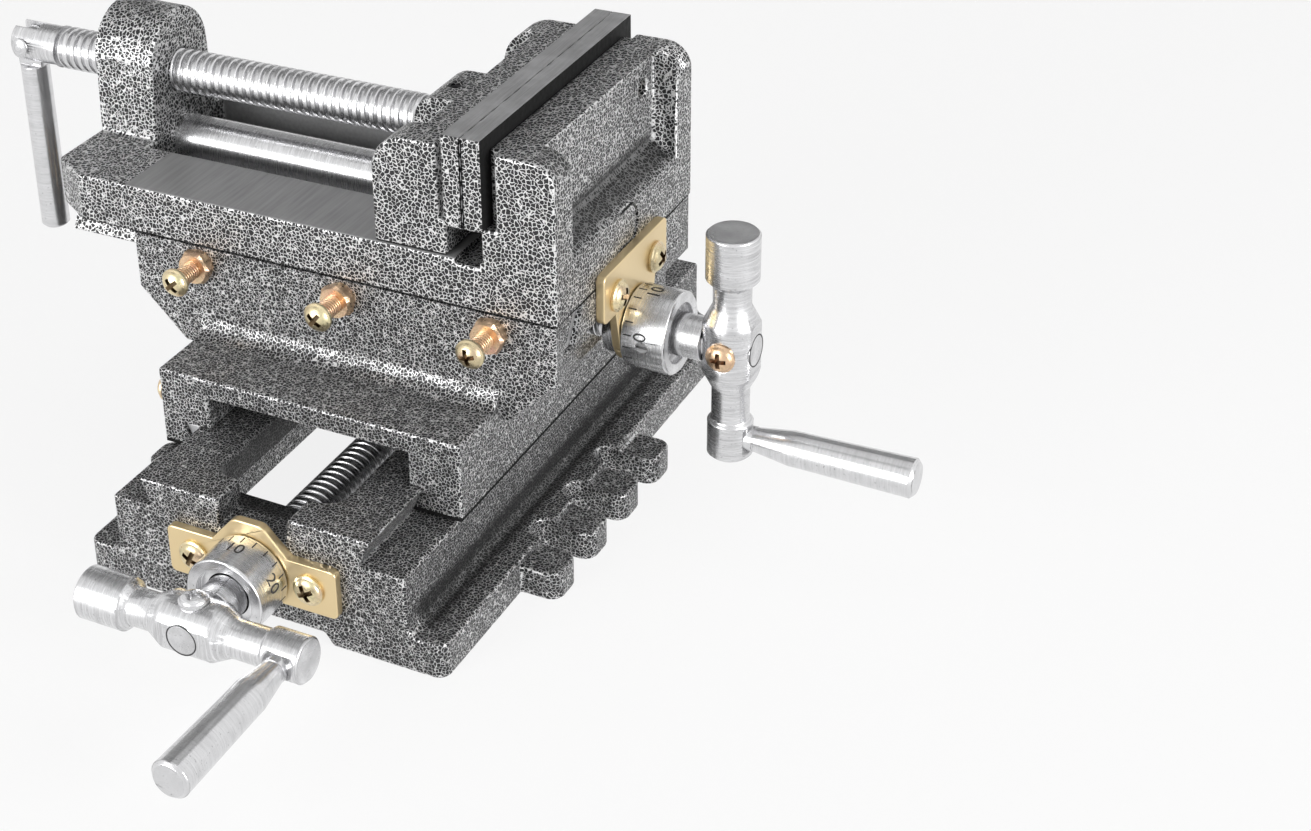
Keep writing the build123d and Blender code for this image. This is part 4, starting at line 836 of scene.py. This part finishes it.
def helix_tree(name):
    """A screw thread: a sheet wound round an axis, with a ridge along its turns and both ends run out."""
    tree = Shape(name)
    radius, depth, pitch, turns, around, facing, origin, material = tree.inputs(
        radius="Float", depth="Float", pitch="Float", turns="Int", around="Int", facing="Rotation",
        origin="Vector", material="Material")
    rows = tree.math("ADD", tree.math("MULTIPLY", turns, ROWS_PER_TURN), 1.0)
    sheet = tree.get("GeometryNodeMeshGrid", {"Size X": 1.0, "Size Y": 1.0, "Vertices X": rows,
                                              "Vertices Y": tree.math("ADD", around, 1.0)}, "Mesh")
    parts = tree.add("ShaderNodeSeparateXYZ", {0: tree.get("GeometryNodeInputPosition")}).outputs
    wound = tree.math("MULTIPLY", tree.math("ADD", parts[0], 0.5), turns)
    share = tree.math("ADD", parts[1], 0.5)
    travel = tree.math("ADD", wound, share)
    phase = tree.math("FRACT", tree.math("ADD", wound, 1e-4))
    from_crest = tree.math("MULTIPLY", tree.math("ABSOLUTE", tree.math("SUBTRACT", phase, 0.5)), 2.0)
    flank = tree.span(tree.math("SUBTRACT", 1.0, from_crest), 0.08, 0.46, interpolation_type="SMOOTHSTEP")
    run_in = tree.span(travel, 0.1, 1.2)
    run_out = tree.span(tree.math("SUBTRACT", tree.math("ADD", turns, 0.9), travel), 0.0, 1.1)
    rise = tree.math("MULTIPLY", tree.math("MULTIPLY", flank, depth), tree.math("MULTIPLY", run_in, run_out))
    distance = tree.math("ADD", tree.math("SUBTRACT", radius, depth), rise)
    angle = tree.math("MULTIPLY", share, 2 * math.pi)
    spot = tree.xyz(x=tree.math("MULTIPLY", tree.math("COSINE", angle), distance),
                    y=tree.math("MULTIPLY", tree.math("SINE", angle), distance),
                    z=tree.math("MULTIPLY", travel, pitch))
    wrapped = tree.get("GeometryNodeSetPosition", {"Geometry": sheet, "Position": spot})
    closed = tree.get("GeometryNodeMergeByDistance", {"Geometry": wrapped, "Distance": 1e-6})
    return tree.end(tree.moved(closed, Translation=origin, Rotation=facing), material, smooth=True)


def row_tree(name):
    """One template set along a line, each turned by its own angle about the template's axis."""
    tree = Shape(name)
    template, count, start, step, axis, first_turn, spread, seed, material = tree.inputs(
        template="Object", count="Int", start="Vector", step="Vector", axis="Vector", first_turn="Float",
        spread="Float", seed="Int", material="Material")
    points = tree.line(count, **{"Start Location": start, "Offset": step})
    wobble = tree.get("FunctionNodeRandomValue", {2: 0.0, 3: spread, "Seed": seed}, 1, data_type="FLOAT")
    turn = tree.turn(axis, tree.math("ADD", first_turn, wobble))
    shape = tree.get("GeometryNodeObjectInfo", {"Object": template, "As Instance": True}, "Geometry")
    return tree.end(tree.instances(points, shape, turn), material, smooth=False)


def ticks_tree(name):
    """Short lines around a dial."""
    tree = Shape(name)
    count, radius, start, length, width, height, first_turn, facing, origin, material = tree.inputs(
        count="Int", radius="Float", start="Float", length="Float", width="Float", height="Float",
        first_turn="Float", facing="Rotation", origin="Vector", material="Material")
    block = tree.get("GeometryNodeMeshCube", {"Size": tree.xyz(x=height, y=width, z=length)})
    middle = tree.math("ADD", start, tree.math("MULTIPLY", length, 0.5))
    tick = tree.moved(block, Translation=tree.xyz(x=radius, z=middle))
    step = tree.math("DIVIDE", 2 * math.pi, count)
    angle = tree.math("MULTIPLY_ADD", tree.get("GeometryNodeInputIndex"), step, first_turn)
    ticks = tree.instances(tree.line(count, Offset=(0.0, 0.0, 0.0)), tick, tree.turn(AXES["z"], angle))
    return tree.end(tree.moved(ticks, Translation=origin, Rotation=facing), material, smooth=False)


def grown(name, tree_name, builder, **values):
    """A plain mesh piece made by a geometry tree with these inputs."""
    piece = new_object(name, bpy.data.meshes.new(name))
    modifier = piece.modifiers.new("shape", "NODES")
    modifier.node_group = bpy.data.node_groups.get(tree_name) or builder(tree_name)
    for item in modifier.node_group.interface.items_tree:
        if item.in_out == "INPUT":
            modifier[item.identifier] = values[item.name.replace(" ", "_").lower()]
    return baked(piece)


def thread(name, material, origin, axis, radius, length, pitch, depth, around=40):
    """A right-hand thread from the origin along the axis."""
    return grown(name, "vise_thread", helix_tree, radius=radius, depth=depth, pitch=pitch,
                 turns=max(1, int(length / pitch) - 1), around=around, facing=pointing(axis).to_euler(),
                 origin=tuple(origin), material=material)


def row(name, copy, material, count, start, step, axis, first_turn, spread=3.0, seed=3):
    """Like pieces from one edited mesh, set along a line and each turned by chance."""
    source = smooth_object(f"{name}_template", copy, SCREW_SMOOTH)
    piece = grown(name, "vise_row", row_tree, template=source, count=count, start=tuple(start),
                  step=tuple(step), axis=tuple(axis), first_turn=first_turn, spread=spread, seed=seed,
                  material=material)
    drop(source)
    return piece


def joined(name, pieces):
    """One piece from several, which keep their own shading."""
    with bpy.context.temp_override(active_object=pieces[0], object=pieces[0], selected_objects=pieces,
                                   selected_editable_objects=pieces):
        bpy.ops.object.join()
    pieces[0].name = name
    pieces[0].data.name = name
    return pieces[0]


def threaded(node, body, axis, cut, shortest, core_start, ridge_start, length):
    """A screw whose plain rings are cut away for a core with a helical ridge."""
    size = sizes()
    copy = cad_copy(node)
    cut_away(copy, axis, *cut)
    rounded(copy, soft_edges(copy, size.steel_edge, shortest), size.steel_edge)
    shaft = finished(f"{node}_body", copy, steel(axis))
    core = shank(f"{node}_core", axis_place(core_start, AXES[axis]), 0.0, length,
                 SCREW_RADIUS - size.thread_depth + 0.03 * MM, steel(axis), 64)
    ridge = thread(f"{node}_ridge", steel(axis), ridge_start, AXES[axis], SCREW_RADIUS, length + 1.5 * MM,
                   size.thread_pitch, size.thread_depth)
    settle(joined(f"{node}_turned", [shaft, core, ridge]), body, "bright_steel", node)


def seats(node, axis, spacing, count):
    """The middle of the first of some like pieces in a row, the step to the next, and the axis they face."""
    low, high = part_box(node)
    index = 0 if axis[0] else 1
    start = (low + high) / 2
    start[1 - index] -= spacing * (count - 1) / 2
    step = Vector((0.0, 0.0, 0.0))
    step[1 - index] = spacing
    return start, step, index


def at_level(place, index, level):
    """A place shifted along one axis to a level."""
    moved = Vector(place)
    moved[index] = level
    return moved


# Operators

def foot(level, height):
    """The band of painted joint shadow and oil along a casting's lower edge."""
    return (-1.0, -1.0, level - 0.1 * MM), (1.0, 1.0, level + height)


def near_rod(point):
    """Whether an edge belongs to the guide rod's bore."""
    rod = (rod_low + rod_high) / 2
    return math.hypot(point.y - rod.y, point.z - rod.z) < 9 * MM


class VISE_OT_castings(bpy.types.Operator):
    """Rounds the edges of the four castings and gives them their enamel"""

    bl_idname = "vise.castings"
    bl_label = "Castings"

    def execute(self, context):
        side = 60 * MM
        strips = ((-77.0 * MM, -side, BED_TOP - 0.3 * MM), (39.4 * MM, side, BED_TOP + 0.3 * MM))
        channel = ((bed_low.x + 22.2 * MM, -21.7 * MM, 90.0 * MM), (48.4 * MM, 21.7 * MM, BED_TOP - 0.5 * MM))
        slideway = ((saddle_low.x, -40 * MM, bed_low.z - 1 * MM),
                    (saddle_high.x - 1 * MM, 40 * MM, BED_FOOT + 0.15 * MM))
        # Boxes of painted shade: the pocket's lower ledge (sill), the base's opening (slot) and the roots
        # along both sides of the base.
        sill = ((bed_high.x - 16 * MM, -36.1 * MM, BED_TOP + 0.5 * MM),
                (bed_high.x + 2 * MM, 36.1 * MM, BED_TOP + 12 * MM))
        slot = ((-24.5 * MM, -94 * MM, -3 * MM), (24.5 * MM, 94 * MM, 41.6 * MM))
        roots = [((sign * 51.5 * MM - 5.5 * MM, base_low.y + 6 * MM, 8 * MM),
                  (sign * 51.5 * MM + 5.5 * MM, -base_low.y - 6 * MM, 21 * MM)) for sign in (-1, 1)]
        # Node, bare boxes, painted joint shadow and oil boxes, painted shade boxes, edges left sharp,
        # fineness and width of the veins
        plans = (
            ("base", [], [], [slot, *roots], None, 1.12, 0.64),
            ("saddle", [], [foot(saddle_low.z, 1.7 * MM)], [], None, 1.12, 0.74),
            ("bed", [strips, channel, slideway], [foot(BED_FOOT, 0.75 * MM)], [sill], near_rod, 1.0, 1.0),
            ("moving_jaw", [], [foot(BED_TOP, 0.95 * MM)], [], near_rod, 1.0, 1.0),
        )
        for node, bare, shadow_and_oil_boxes, shade_boxes, spare, fineness, silver in plans:
            material = hammered_enamel(f"enamel_{node}", bare, shadow_and_oil_boxes, shade_boxes, fineness, silver)
            casting = rounded_casting(node, sizes().casting_edge, spare)
            settle(finished(f"{node}_casting", casting, material), node, "hammered_paint", node)
        return {"FINISHED"}


def lies_on(edge, index, level):
    """Whether both ends of an edge are at one level of an axis, on either side of the middle."""
    return all(abs(abs(vert.co[index]) - abs(level)) < 0.01 * MM for vert in edge.verts)


class VISE_OT_jaw_plates(bpy.types.Operator):
    """Makes the ground jaw plates, their screws and the gibs"""

    bl_idname = "vise.jaw_plates"
    bl_label = "Jaw plates and gibs"

    def execute(self, context):
        paint = bpy.data.materials["enamel_moving_jaw"]
        for node, body in (("fixed_jaw_plate", "bed"), ("moving_jaw_plate", "moving_jaw")):
            copy = cad_copy(node)
            low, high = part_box(node)
            face_x, inward = (low.x, 1) if node == "fixed_jaw_plate" else (high.x, -1)
            rims = [edge for edge in copy.edges
                    if len(edge.link_faces) == 2 and edge.calc_face_angle(0.0) > math.radians(60)
                    and edge.calc_length() > 3 * MM and not lies_on(edge, 0, face_x)
                    and (lies_on(edge, 2, high.z) or lies_on(edge, 1, high.y))]
            rounded(copy, rims, 0.2 * MM)
            land = bmesh.new()
            place = Matrix.Translation((face_x + inward * 0.22 * MM, 0.0, high.z - 0.47 * MM))
            bmesh.ops.create_cube(land, size=1.0, matrix=place @ Matrix.Diagonal(
                (0.38 * MM, high.y - low.y - 0.6 * MM, PLATE_LAND, 1.0)))
            ground = material_named("ground_plate", ground_steel, "y")
            piece = joined(f"{node}_ground", [finished(f"{node}_slab", copy, ground),
                                              finished(f"{node}_land", land, ground)])
            # The fixed plate's back face is near black: painted shade where it stands above the jaw.
            black = material_named("black_back", dark_metal, (0.012, 0.012, 0.012), 0.6)
            repaint(piece, (paint, lambda middle: middle.y < low.y + 0.35 * MM),
                    (black, lambda middle: node == "fixed_jaw_plate" and middle.x > high.x - 0.1 * MM))
            settle(piece, body, "ground_steel", node)
        for node, along in (("upper_gib", "x"), ("lower_gib", "y")):
            ground = material_named(f"ground_{along}", ground_steel, along)
            dressed(f"{node}_bar", node, "saddle", "ground_steel", ground, 0.3 * MM)
        for node, body in (("fixed_jaw_plate_screws", "bed"), ("moving_jaw_plate_screws", "moving_jaw")):
            dressed(f"{node}_set", node, body, "yellow_zinc", zinc(), 0.15 * MM, 0.4 * MM)
        return {"FINISHED"}


class VISE_OT_clamp(bpy.types.Operator):
    """Makes the clamp screw with its thread, the folding handle, the rivet and the guide rod"""

    bl_idname = "vise.clamp"
    bl_label = "Clamp screw"

    def execute(self, context):
        start, end = CLAMP_THREAD_START, jaw_low.x - 0.4 * MM
        threaded("clamp_screw", "clamp_screw", "x", (start + 0.5 * MM, end), 1.2 * MM, (start, 0.0, CLAMP.z),
                 (start - 1.0 * MM, 0.0, CLAMP.z), end - start)
        dressed("clamp_handle_bar", "clamp_handle", "clamp_handle", "bright_steel", smooth_steel("z"),
                0.35 * MM, 0.5 * MM)
        low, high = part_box("handle_rivet")
        middle = (low + high) / 2
        half, head = (high.y - low.y) / 2, (high.x - low.x) / 2
        dome = [(0.35, 0.62), (0.75, 0.88), (1.1, 0.99), (1.24, 1.0)]
        points = [(-half + 0.02 * MM, 0.6 * MM)]
        points += [(-half + depth * MM, share * head) for depth, share in dome]
        points += [(-half + 1.25 * MM, 2.5 * MM), (half - 1.25 * MM, 2.5 * MM)]
        points += [(half - depth * MM, share * head) for depth, share in reversed(dome)]
        points.append((half - 0.02 * MM, 0.6 * MM))
        rivet = lathe(bmesh.new(), points, axis_place((middle.x, 0.0, middle.z), AXES["y"]), 40)
        rivet = finished("handle_rivet_domed", rivet, steel("y"))
        settle(rivet, "clamp_screw", "bright_steel", "handle_rivet")
        rod = dressed("guide_rod_turned", "guide_rod", "bed", "bright_steel", steel("x"), 0.2 * MM, 0.8 * MM)
        near, far = rod_low.x + 0.3 * MM, rod_high.x - 0.3 * MM
        repaint(rod, (bpy.data.materials["enamel_moving_jaw"], lambda place: not near <= place.x <= far))
        return {"FINISHED"}


class VISE_OT_feeds(bpy.types.Operator):
    """Makes both feed screws with their threads and nuts"""

    bl_idname = "vise.feeds"
    bl_label = "Feed screws"

    def execute(self, context):
        for index, sign in ((0, 1.0), (1, -1.0)):
            letter = "xy"[index]
            node = f"{letter}_feed_screw"
            low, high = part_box(node)
            centre = FEEDS[letter][0]
            far = (low if letter == "x" else high)[index]
            near = centre[index] - sign * COLLAR_INSET
            origin = at_level(centre, index, min(far, near))
            threaded(node, f"{letter}_feed", letter, sorted((far + sign * 0.8 * MM, near)), 1.0 * MM, origin,
                     origin, abs(near - far))
        iron = material_named("raw_iron", dark_metal, (0.16, 0.155, 0.15), 0.55)
        for node in ("x_feed_nut", "y_feed_nut"):
            dressed(f"{node}_block", node, "saddle", "raw_iron", iron, 0.4 * MM)
        return {"FINISHED"}


def digits(name, text, centre, axis, turn, material):
    """A number wrapped on the dial, read from the crank's side."""
    curve = bpy.data.curves.new(name, "FONT")
    curve.body = text
    curve.size = sizes().digit_height / 0.7
    curve.align_x = "CENTER"
    curve.extrude = 0.06 * MM
    curve.resolution_u = 3
    holder = new_object(name, curve)
    mesh = evaluated_mesh(holder)
    bpy.data.objects.remove(holder)
    bpy.data.curves.remove(curve)
    place = axis_place(centre, axis)
    for vert in mesh.vertices:
        angle = turn - vert.co.x / DIAL_RADIUS
        vert.co = place @ about(DIAL_RADIUS + vert.co.z, angle, DIGIT_LEVEL - vert.co.y)
    mesh.materials.clear()
    mesh.materials.append(material)
    return new_object(name, mesh)


class VISE_OT_dials(bpy.types.Operator):
    """Makes both graduated dials with their lines, numbers and pins"""

    bl_idname = "vise.dials"
    bl_label = "Dials"

    def execute(self, context):
        size = sizes()
        marks = material_named("mark_fill", mark_fill)
        pin = material_named("pin_steel", dark_metal, (0.42, 0.42, 0.425), 0.3)
        tilt = math.radians(14)
        plans = (("x", Vector((0, -math.cos(tilt), math.sin(tilt))), "0"), ("y", Vector((0, 0, 1)), "10"))
        for letter, seen_from, shown in plans:
            centre, axis = FEEDS[letter]
            node, body = f"{letter}_dial", f"{letter}_feed"
            dressed(f"{node}_sleeve", node, body, "bright_steel", steel(letter), 0.3 * MM, 0.8 * MM)
            dressed(f"{node}_pin_set", f"{node}_pin", body, "dark_steel", pin, 0.12 * MM, 0.3 * MM)
            local = axis_place(centre, axis).inverted().to_3x3() @ seen_from
            first = math.atan2(local.y, local.x)
            pieces = [grown(f"{node}_ticks", "vise_ticks", ticks_tree, count=size.tick_count,
                            radius=DIAL_RADIUS - 0.02 * MM, start=TICK_LEVEL, length=size.tick_length,
                            width=size.tick_width, height=0.12 * MM,
                            first_turn=first, facing=pointing(axis).to_euler(), origin=tuple(centre),
                            material=marks)]
            numbers = [str(10 * index) for index in range(size.number_count)]
            step = 2 * math.pi / size.number_count
            for index, text in enumerate(numbers):
                turn = first - (index - numbers.index(shown)) * step
                pieces.append(digits(f"{node}_number_{text}", text, centre, axis, turn, marks))
            settle(joined(f"{node}_marks", pieces), body, "dark_steel")
        return {"FINISHED"}


class VISE_OT_cranks(bpy.types.Operator):
    """Makes both cranks with their grips and locking screws"""

    bl_idname = "vise.cranks"
    bl_label = "Cranks"

    def execute(self, context):
        edge = sizes().steel_edge
        for index, (letter, arm) in enumerate((("x", "z"), ("y", "x"))):
            body, node = f"{letter}_feed", f"{letter}_crank"
            dressed(f"{node}_turned", node, body, "bright_steel", steel(arm), edge, 0.5 * MM)
            dressed(f"{node}_grip_turned", f"{node}_grip", body, "bright_steel", smooth_steel(letter), edge,
                    0.5 * MM)
            centre, axis = FEEDS[letter]
            low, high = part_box(f"{letter}_feed_screw")
            face = at_level(centre, index, (high if letter == "x" else low)[index])
            line = annulus(bmesh.new(), 4.78 * MM, 5.12 * MM, -0.2 * MM, 0.04 * MM, axis_place(face, axis))
            line = finished(f"{node}_stub_line", line, material_named("mark_fill", mark_fill))
            settle(line, body, "dark_steel")
        radius, height = 4.6 * MM, 3.0 * MM
        for letter, axis, material, slot in (("x", (0, -1, 0), copper_zinc(), "yellow_zinc"),
                                             ("y", (0, 0, 1), steel("z"), "bright_steel")):
            node = f"{letter}_crank_screw"
            low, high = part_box(node)
            middle = (low + high) / 2
            side, level = (1, low.y + height) if letter == "x" else (2, high.z - height)
            seat = at_level(middle, side, level)
            crown = row(f"{node}_head", pan_head(radius, height, 1.7 * MM, axis), material, 1, seat,
                        (0, 0, 0), axis, first_turn=0.5)
            bolt = shank(f"{node}_shank", axis_place(seat, axis), -3.2 * MM, 0.2 * MM, 2.9 * MM, material)
            settle(joined(f"{node}_set", [crown, bolt]), f"{letter}_feed", slot, node)
        return {"FINISHED"}


class VISE_OT_gib_screws(bpy.types.Operator):
    """Makes both rows of gib screws and their locknuts"""

    bl_idname = "vise.gib_screws"
    bl_label = "Gib screws"

    def execute(self, context):
        size = sizes()
        height = 3.4 * MM
        core = GIB_RADIUS - size.gib_thread_depth + 0.02 * MM
        for name, axis in (("upper", (0, -1, 0)), ("lower", (-1, 0, 0))):
            screws, locknuts = f"{name}_gib_screws", f"{name}_gib_locknuts"
            start, step, index = seats(locknuts, axis, GIB_SPACING, GIB_COUNT)
            low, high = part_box(screws)
            seat = at_level(start, index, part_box(locknuts)[1][index])
            nuts = row(f"{locknuts}_row", hex_nut(10.0 * MM, 4.6 * MM, GIB_RADIUS - 0.45 * MM, axis),
                       copper_zinc(), GIB_COUNT, seat, step, axis, first_turn=0.15, spread=0.8, seed=5)
            settle(nuts, "saddle", "yellow_zinc", locknuts)
            crown, tip = low[index] + height, high[index]
            parts = [row(f"{name}_gib_heads", pan_head(4.6 * MM, height, 2.0 * MM, axis), pale_zinc(),
                         GIB_COUNT, at_level(start, index, crown), step, axis, first_turn=0.4, spread=1.4,
                         seed=8)]
            for number in range(GIB_COUNT):
                end = at_level(start + number * step, index, tip)
                parts.append(shank(f"{name}_gib_shank_{number}", axis_place(end, axis), 0.0, abs(crown - tip),
                                   core, copper_zinc()))
                base = at_level(end, index, crown - axis[index] * GIB_EXPOSED)
                parts.append(thread(f"{name}_gib_thread_{number}", copper_zinc(), base, axis, GIB_RADIUS,
                                    GIB_EXPOSED + 1.0 * MM, size.gib_pitch, size.gib_thread_depth, around=28))
            settle(joined(f"{screws}_row", parts), "saddle", "yellow_zinc", screws)
        return {"FINISHED"}


class VISE_OT_keepers(bpy.types.Operator):
    """Makes both keeper plates and their pan head screws"""

    bl_idname = "vise.keepers"
    bl_label = "Keepers"

    def execute(self, context):
        radius = 5.0 * MM
        for letter, body in (("x", "bed"), ("y", "base")):
            axis = FEEDS[letter][1]
            plate, node = f"{letter}_keeper_plate", f"{letter}_keeper_screws"
            dressed(f"{plate}_pressed", plate, body, "yellow_zinc", zinc(), 0.5 * MM)
            low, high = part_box(node)
            line = 1 if letter == "x" else 0
            start, step, index = seats(node, axis, high[line] - low[line] - 2 * radius, 2)
            plate_low, plate_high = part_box(plate)
            start[index] = (plate_high if letter == "x" else plate_low)[index]
            parts = [row(f"{node}_heads", pan_head(radius, 3.0 * MM, 1.8 * MM, axis), pale_zinc(), 2, start,
                         step, axis, first_turn=0.3, spread=1.2, seed=4)]
            for number in range(2):
                place = axis_place(start + number * step, axis)
                parts.append(shank(f"{node}_shank_{number}", place, -10.9 * MM, 0.1 * MM, 2.45 * MM,
                                   pale_zinc()))
            settle(joined(f"{node}_set", parts), body, "yellow_zinc", node)
        return {"FINISHED"}


class VISE_OT_hidden_screws(bpy.types.Operator):
    """Gives the small screws inside the vise their finish"""

    bl_idname = "vise.hidden_screws"
    bl_label = "Hidden screws"

    def execute(self, context):
        black = material_named("black_screw", dark_metal, (0.05, 0.05, 0.052), 0.38)
        for node, body in (("clamp_retaining_screw", "moving_jaw"), ("x_feed_nut_screw", "saddle"),
                           ("y_feed_nut_screw", "saddle")):
            dressed(f"{node}_set", node, body, "dark_steel", black, 0.12 * MM, 0.4 * MM)
        return {"FINISHED"}


def studio_floor(studio):
    """A pale floor that the camera sees as nearly white."""
    floor = bmesh.new()
    bmesh.ops.create_grid(floor, x_segments=2, y_segments=2, size=4.0)
    mesh = mesh_from("studio_floor", floor)
    for vert in mesh.vertices:
        vert.co.z = cad_box[0].z - 0.05 * MM
    shade = Shade("studio_floor")
    colour = tuple(studio.floor_colour)
    shade.use(Base_Color=shade.mix(shade.noise(40.0, 3.0), colour, scaled(colour, 1.02, 1.0)), Roughness=0.8)
    paths = shade.add("ShaderNodeLightPath").outputs
    seen = shade.math("MAXIMUM", paths["Is Camera Ray"], paths["Is Glossy Ray"])
    seen = shade.math("MAXIMUM", seen, paths["Is Transmission Ray"])
    white = shade.get("ShaderNodeEmission", {"Color": 1.0, "Strength": 1.0})
    blend = shade.get("ShaderNodeMixShader", {0: shade.math("MULTIPLY", seen, studio.floor_white),
                                              1: shade.surface.outputs[0], 2: white})
    shade.feed(shade.tree.nodes["Material Output"].inputs["Surface"], blend)
    mesh.materials.append(shade.material)
    new_object("studio_floor", mesh)


def studio_card(studio):
    """A grey card behind and above the vise, which only reflections show."""
    card = bpy.data.meshes.new("studio_card")
    away = Vector((-math.sin(studio.azimuth), math.cos(studio.azimuth), 0.0))
    aside = Vector((away.y, -away.x, 0.0))
    corners = [along * away + across * aside + Vector((0.0, 0.0, height))
               for along, height in ((1.3, 0.30), (1.2, 1.5), (-0.2, 1.5)) for across in (-0.9, 0.9)]
    card.from_pydata([tuple(corner) for corner in corners], [], [(0, 1, 3, 2), (2, 3, 5, 4)])
    felt = Shade("studio_card")
    felt.use(Base_Color=felt.mix(felt.noise(30.0), 0.46, 0.54), Roughness=0.9)
    card.materials.append(felt.material)
    piece = new_object("studio_card", card)
    piece.visible_camera = False
    piece.visible_shadow = False


def studio_room(studio):
    """White to the camera and in reflections, and a low even light for all else."""
    world = bpy.data.worlds.new("studio_room")
    world.use_nodes = True
    room = Graph(world.node_tree)
    background = world.node_tree.nodes["Background"]
    paths = room.add("ShaderNodeLightPath").outputs
    seen = room.math("MAXIMUM", paths["Is Camera Ray"], paths["Is Glossy Ray"])
    level = room.get("ShaderNodeMapRange", {"Value": seen, "To Min": studio.room_level, "To Max": 1.0})
    room.feed(background.inputs["Strength"], level)
    room.feed(background.inputs["Color"], 1.0)
    return world


def lamp(name, place, target, power, size):
    """A square area lamp that looks at the target."""
    light = bpy.data.lights.new(name, "AREA")
    light.energy = power
    light.shape = "SQUARE"
    light.size = size
    piece = new_object(name, light)
    piece.location = place
    piece.rotation_euler = (Vector(target) - Vector(place)).to_track_quat("-Z", "Y").to_euler()


def studio_camera(studio, target):
    """The camera as fitted to the photograph."""
    lens = bpy.data.cameras.new("studio_camera")
    camera = new_object("studio_camera", lens)
    turn, rise, roll = studio.azimuth, studio.elevation, studio.roll
    back = Vector((math.sin(turn) * math.cos(rise), -math.cos(turn) * math.cos(rise), math.sin(rise)))
    right = Vector((math.cos(turn), math.sin(turn), 0.0))
    upright = back.cross(right)
    level_right = math.cos(roll) * right + math.sin(roll) * upright
    level_up = -math.sin(roll) * right + math.cos(roll) * upright
    place = Matrix((level_right, level_up, back)).transposed().to_4x4()
    place.translation = Vector(target) + back * studio.distance
    camera.matrix_world = place
    lens.sensor_width = SENSOR_WIDTH
    lens.lens = FOCAL_LENGTH
    lens.shift_x, lens.shift_y = LENS_SHIFT
    lens.clip_start, lens.clip_end = 0.01, 20.0
    return camera


class VISE_OT_studio(bpy.types.Operator):
    """Sets up the pale floor, the soft lamps and the camera"""

    bl_idname = "vise.studio"
    bl_label = "Studio"

    def execute(self, context):
        scene = context.scene
        studio = scene.vise_studio
        target = (0.0, 0.0, 0.07)
        studio_floor(studio)
        lamp("key_lamp", (-0.45, -1.15, 0.34), target, studio.key_power, 0.7)
        lamp("side_lamp", (1.2, -0.30, 0.32), target, studio.side_power, 0.6)
        lamp("top_lamp", (0.05, 0.25, 1.3), target, studio.top_power, 1.0)
        studio_card(studio)
        scene.world = studio_room(studio)
        scene.camera = studio_camera(studio, target)
        scene.view_settings.view_transform = "Standard"
        return {"FINISHED"}


STEPS = (VISE_OT_castings, VISE_OT_jaw_plates, VISE_OT_clamp, VISE_OT_feeds, VISE_OT_dials, VISE_OT_cranks,
         VISE_OT_gib_screws, VISE_OT_keepers, VISE_OT_hidden_screws, VISE_OT_studio)


class VISE_PT_panel(bpy.types.Panel):
    """Lists the vise's pieces and sizes"""

    bl_idname = "VISE_PT_panel"
    bl_label = "Cross slide vise"
    bl_space_type = "VIEW_3D"
    bl_region_type = "UI"
    bl_category = "Vise"

    def draw(self, context):
        layout = self.layout
        for step in STEPS:
            layout.operator(step.bl_idname)
        for name in GROUPS:
            group = getattr(context.scene, name)
            box = layout.box()
            for key in group.bl_rna.properties.keys():
                if key not in ("rna_type", "name"):
                    box.prop(group, key)


GROUPS = {"vise_sizes": ViseSizes, "vise_finish": ViseFinish, "vise_studio": ViseStudio}
CLASSES = (*GROUPS.values(), *STEPS, VISE_PT_panel)


def register():
    for item in CLASSES:
        bpy.utils.register_class(item)
    for name, group in GROUPS.items():
        setattr(bpy.types.Scene, name, bpy.props.PointerProperty(type=group))


def unregister():
    for name in GROUPS:
        delattr(bpy.types.Scene, name)
    for item in reversed(CLASSES):
        bpy.utils.unregister_class(item)


def main():
    register()
    for step in STEPS:
        group, name = step.bl_idname.split(".")
        getattr(getattr(bpy.ops, group), name)()


if __name__ == "__main__":
    main()
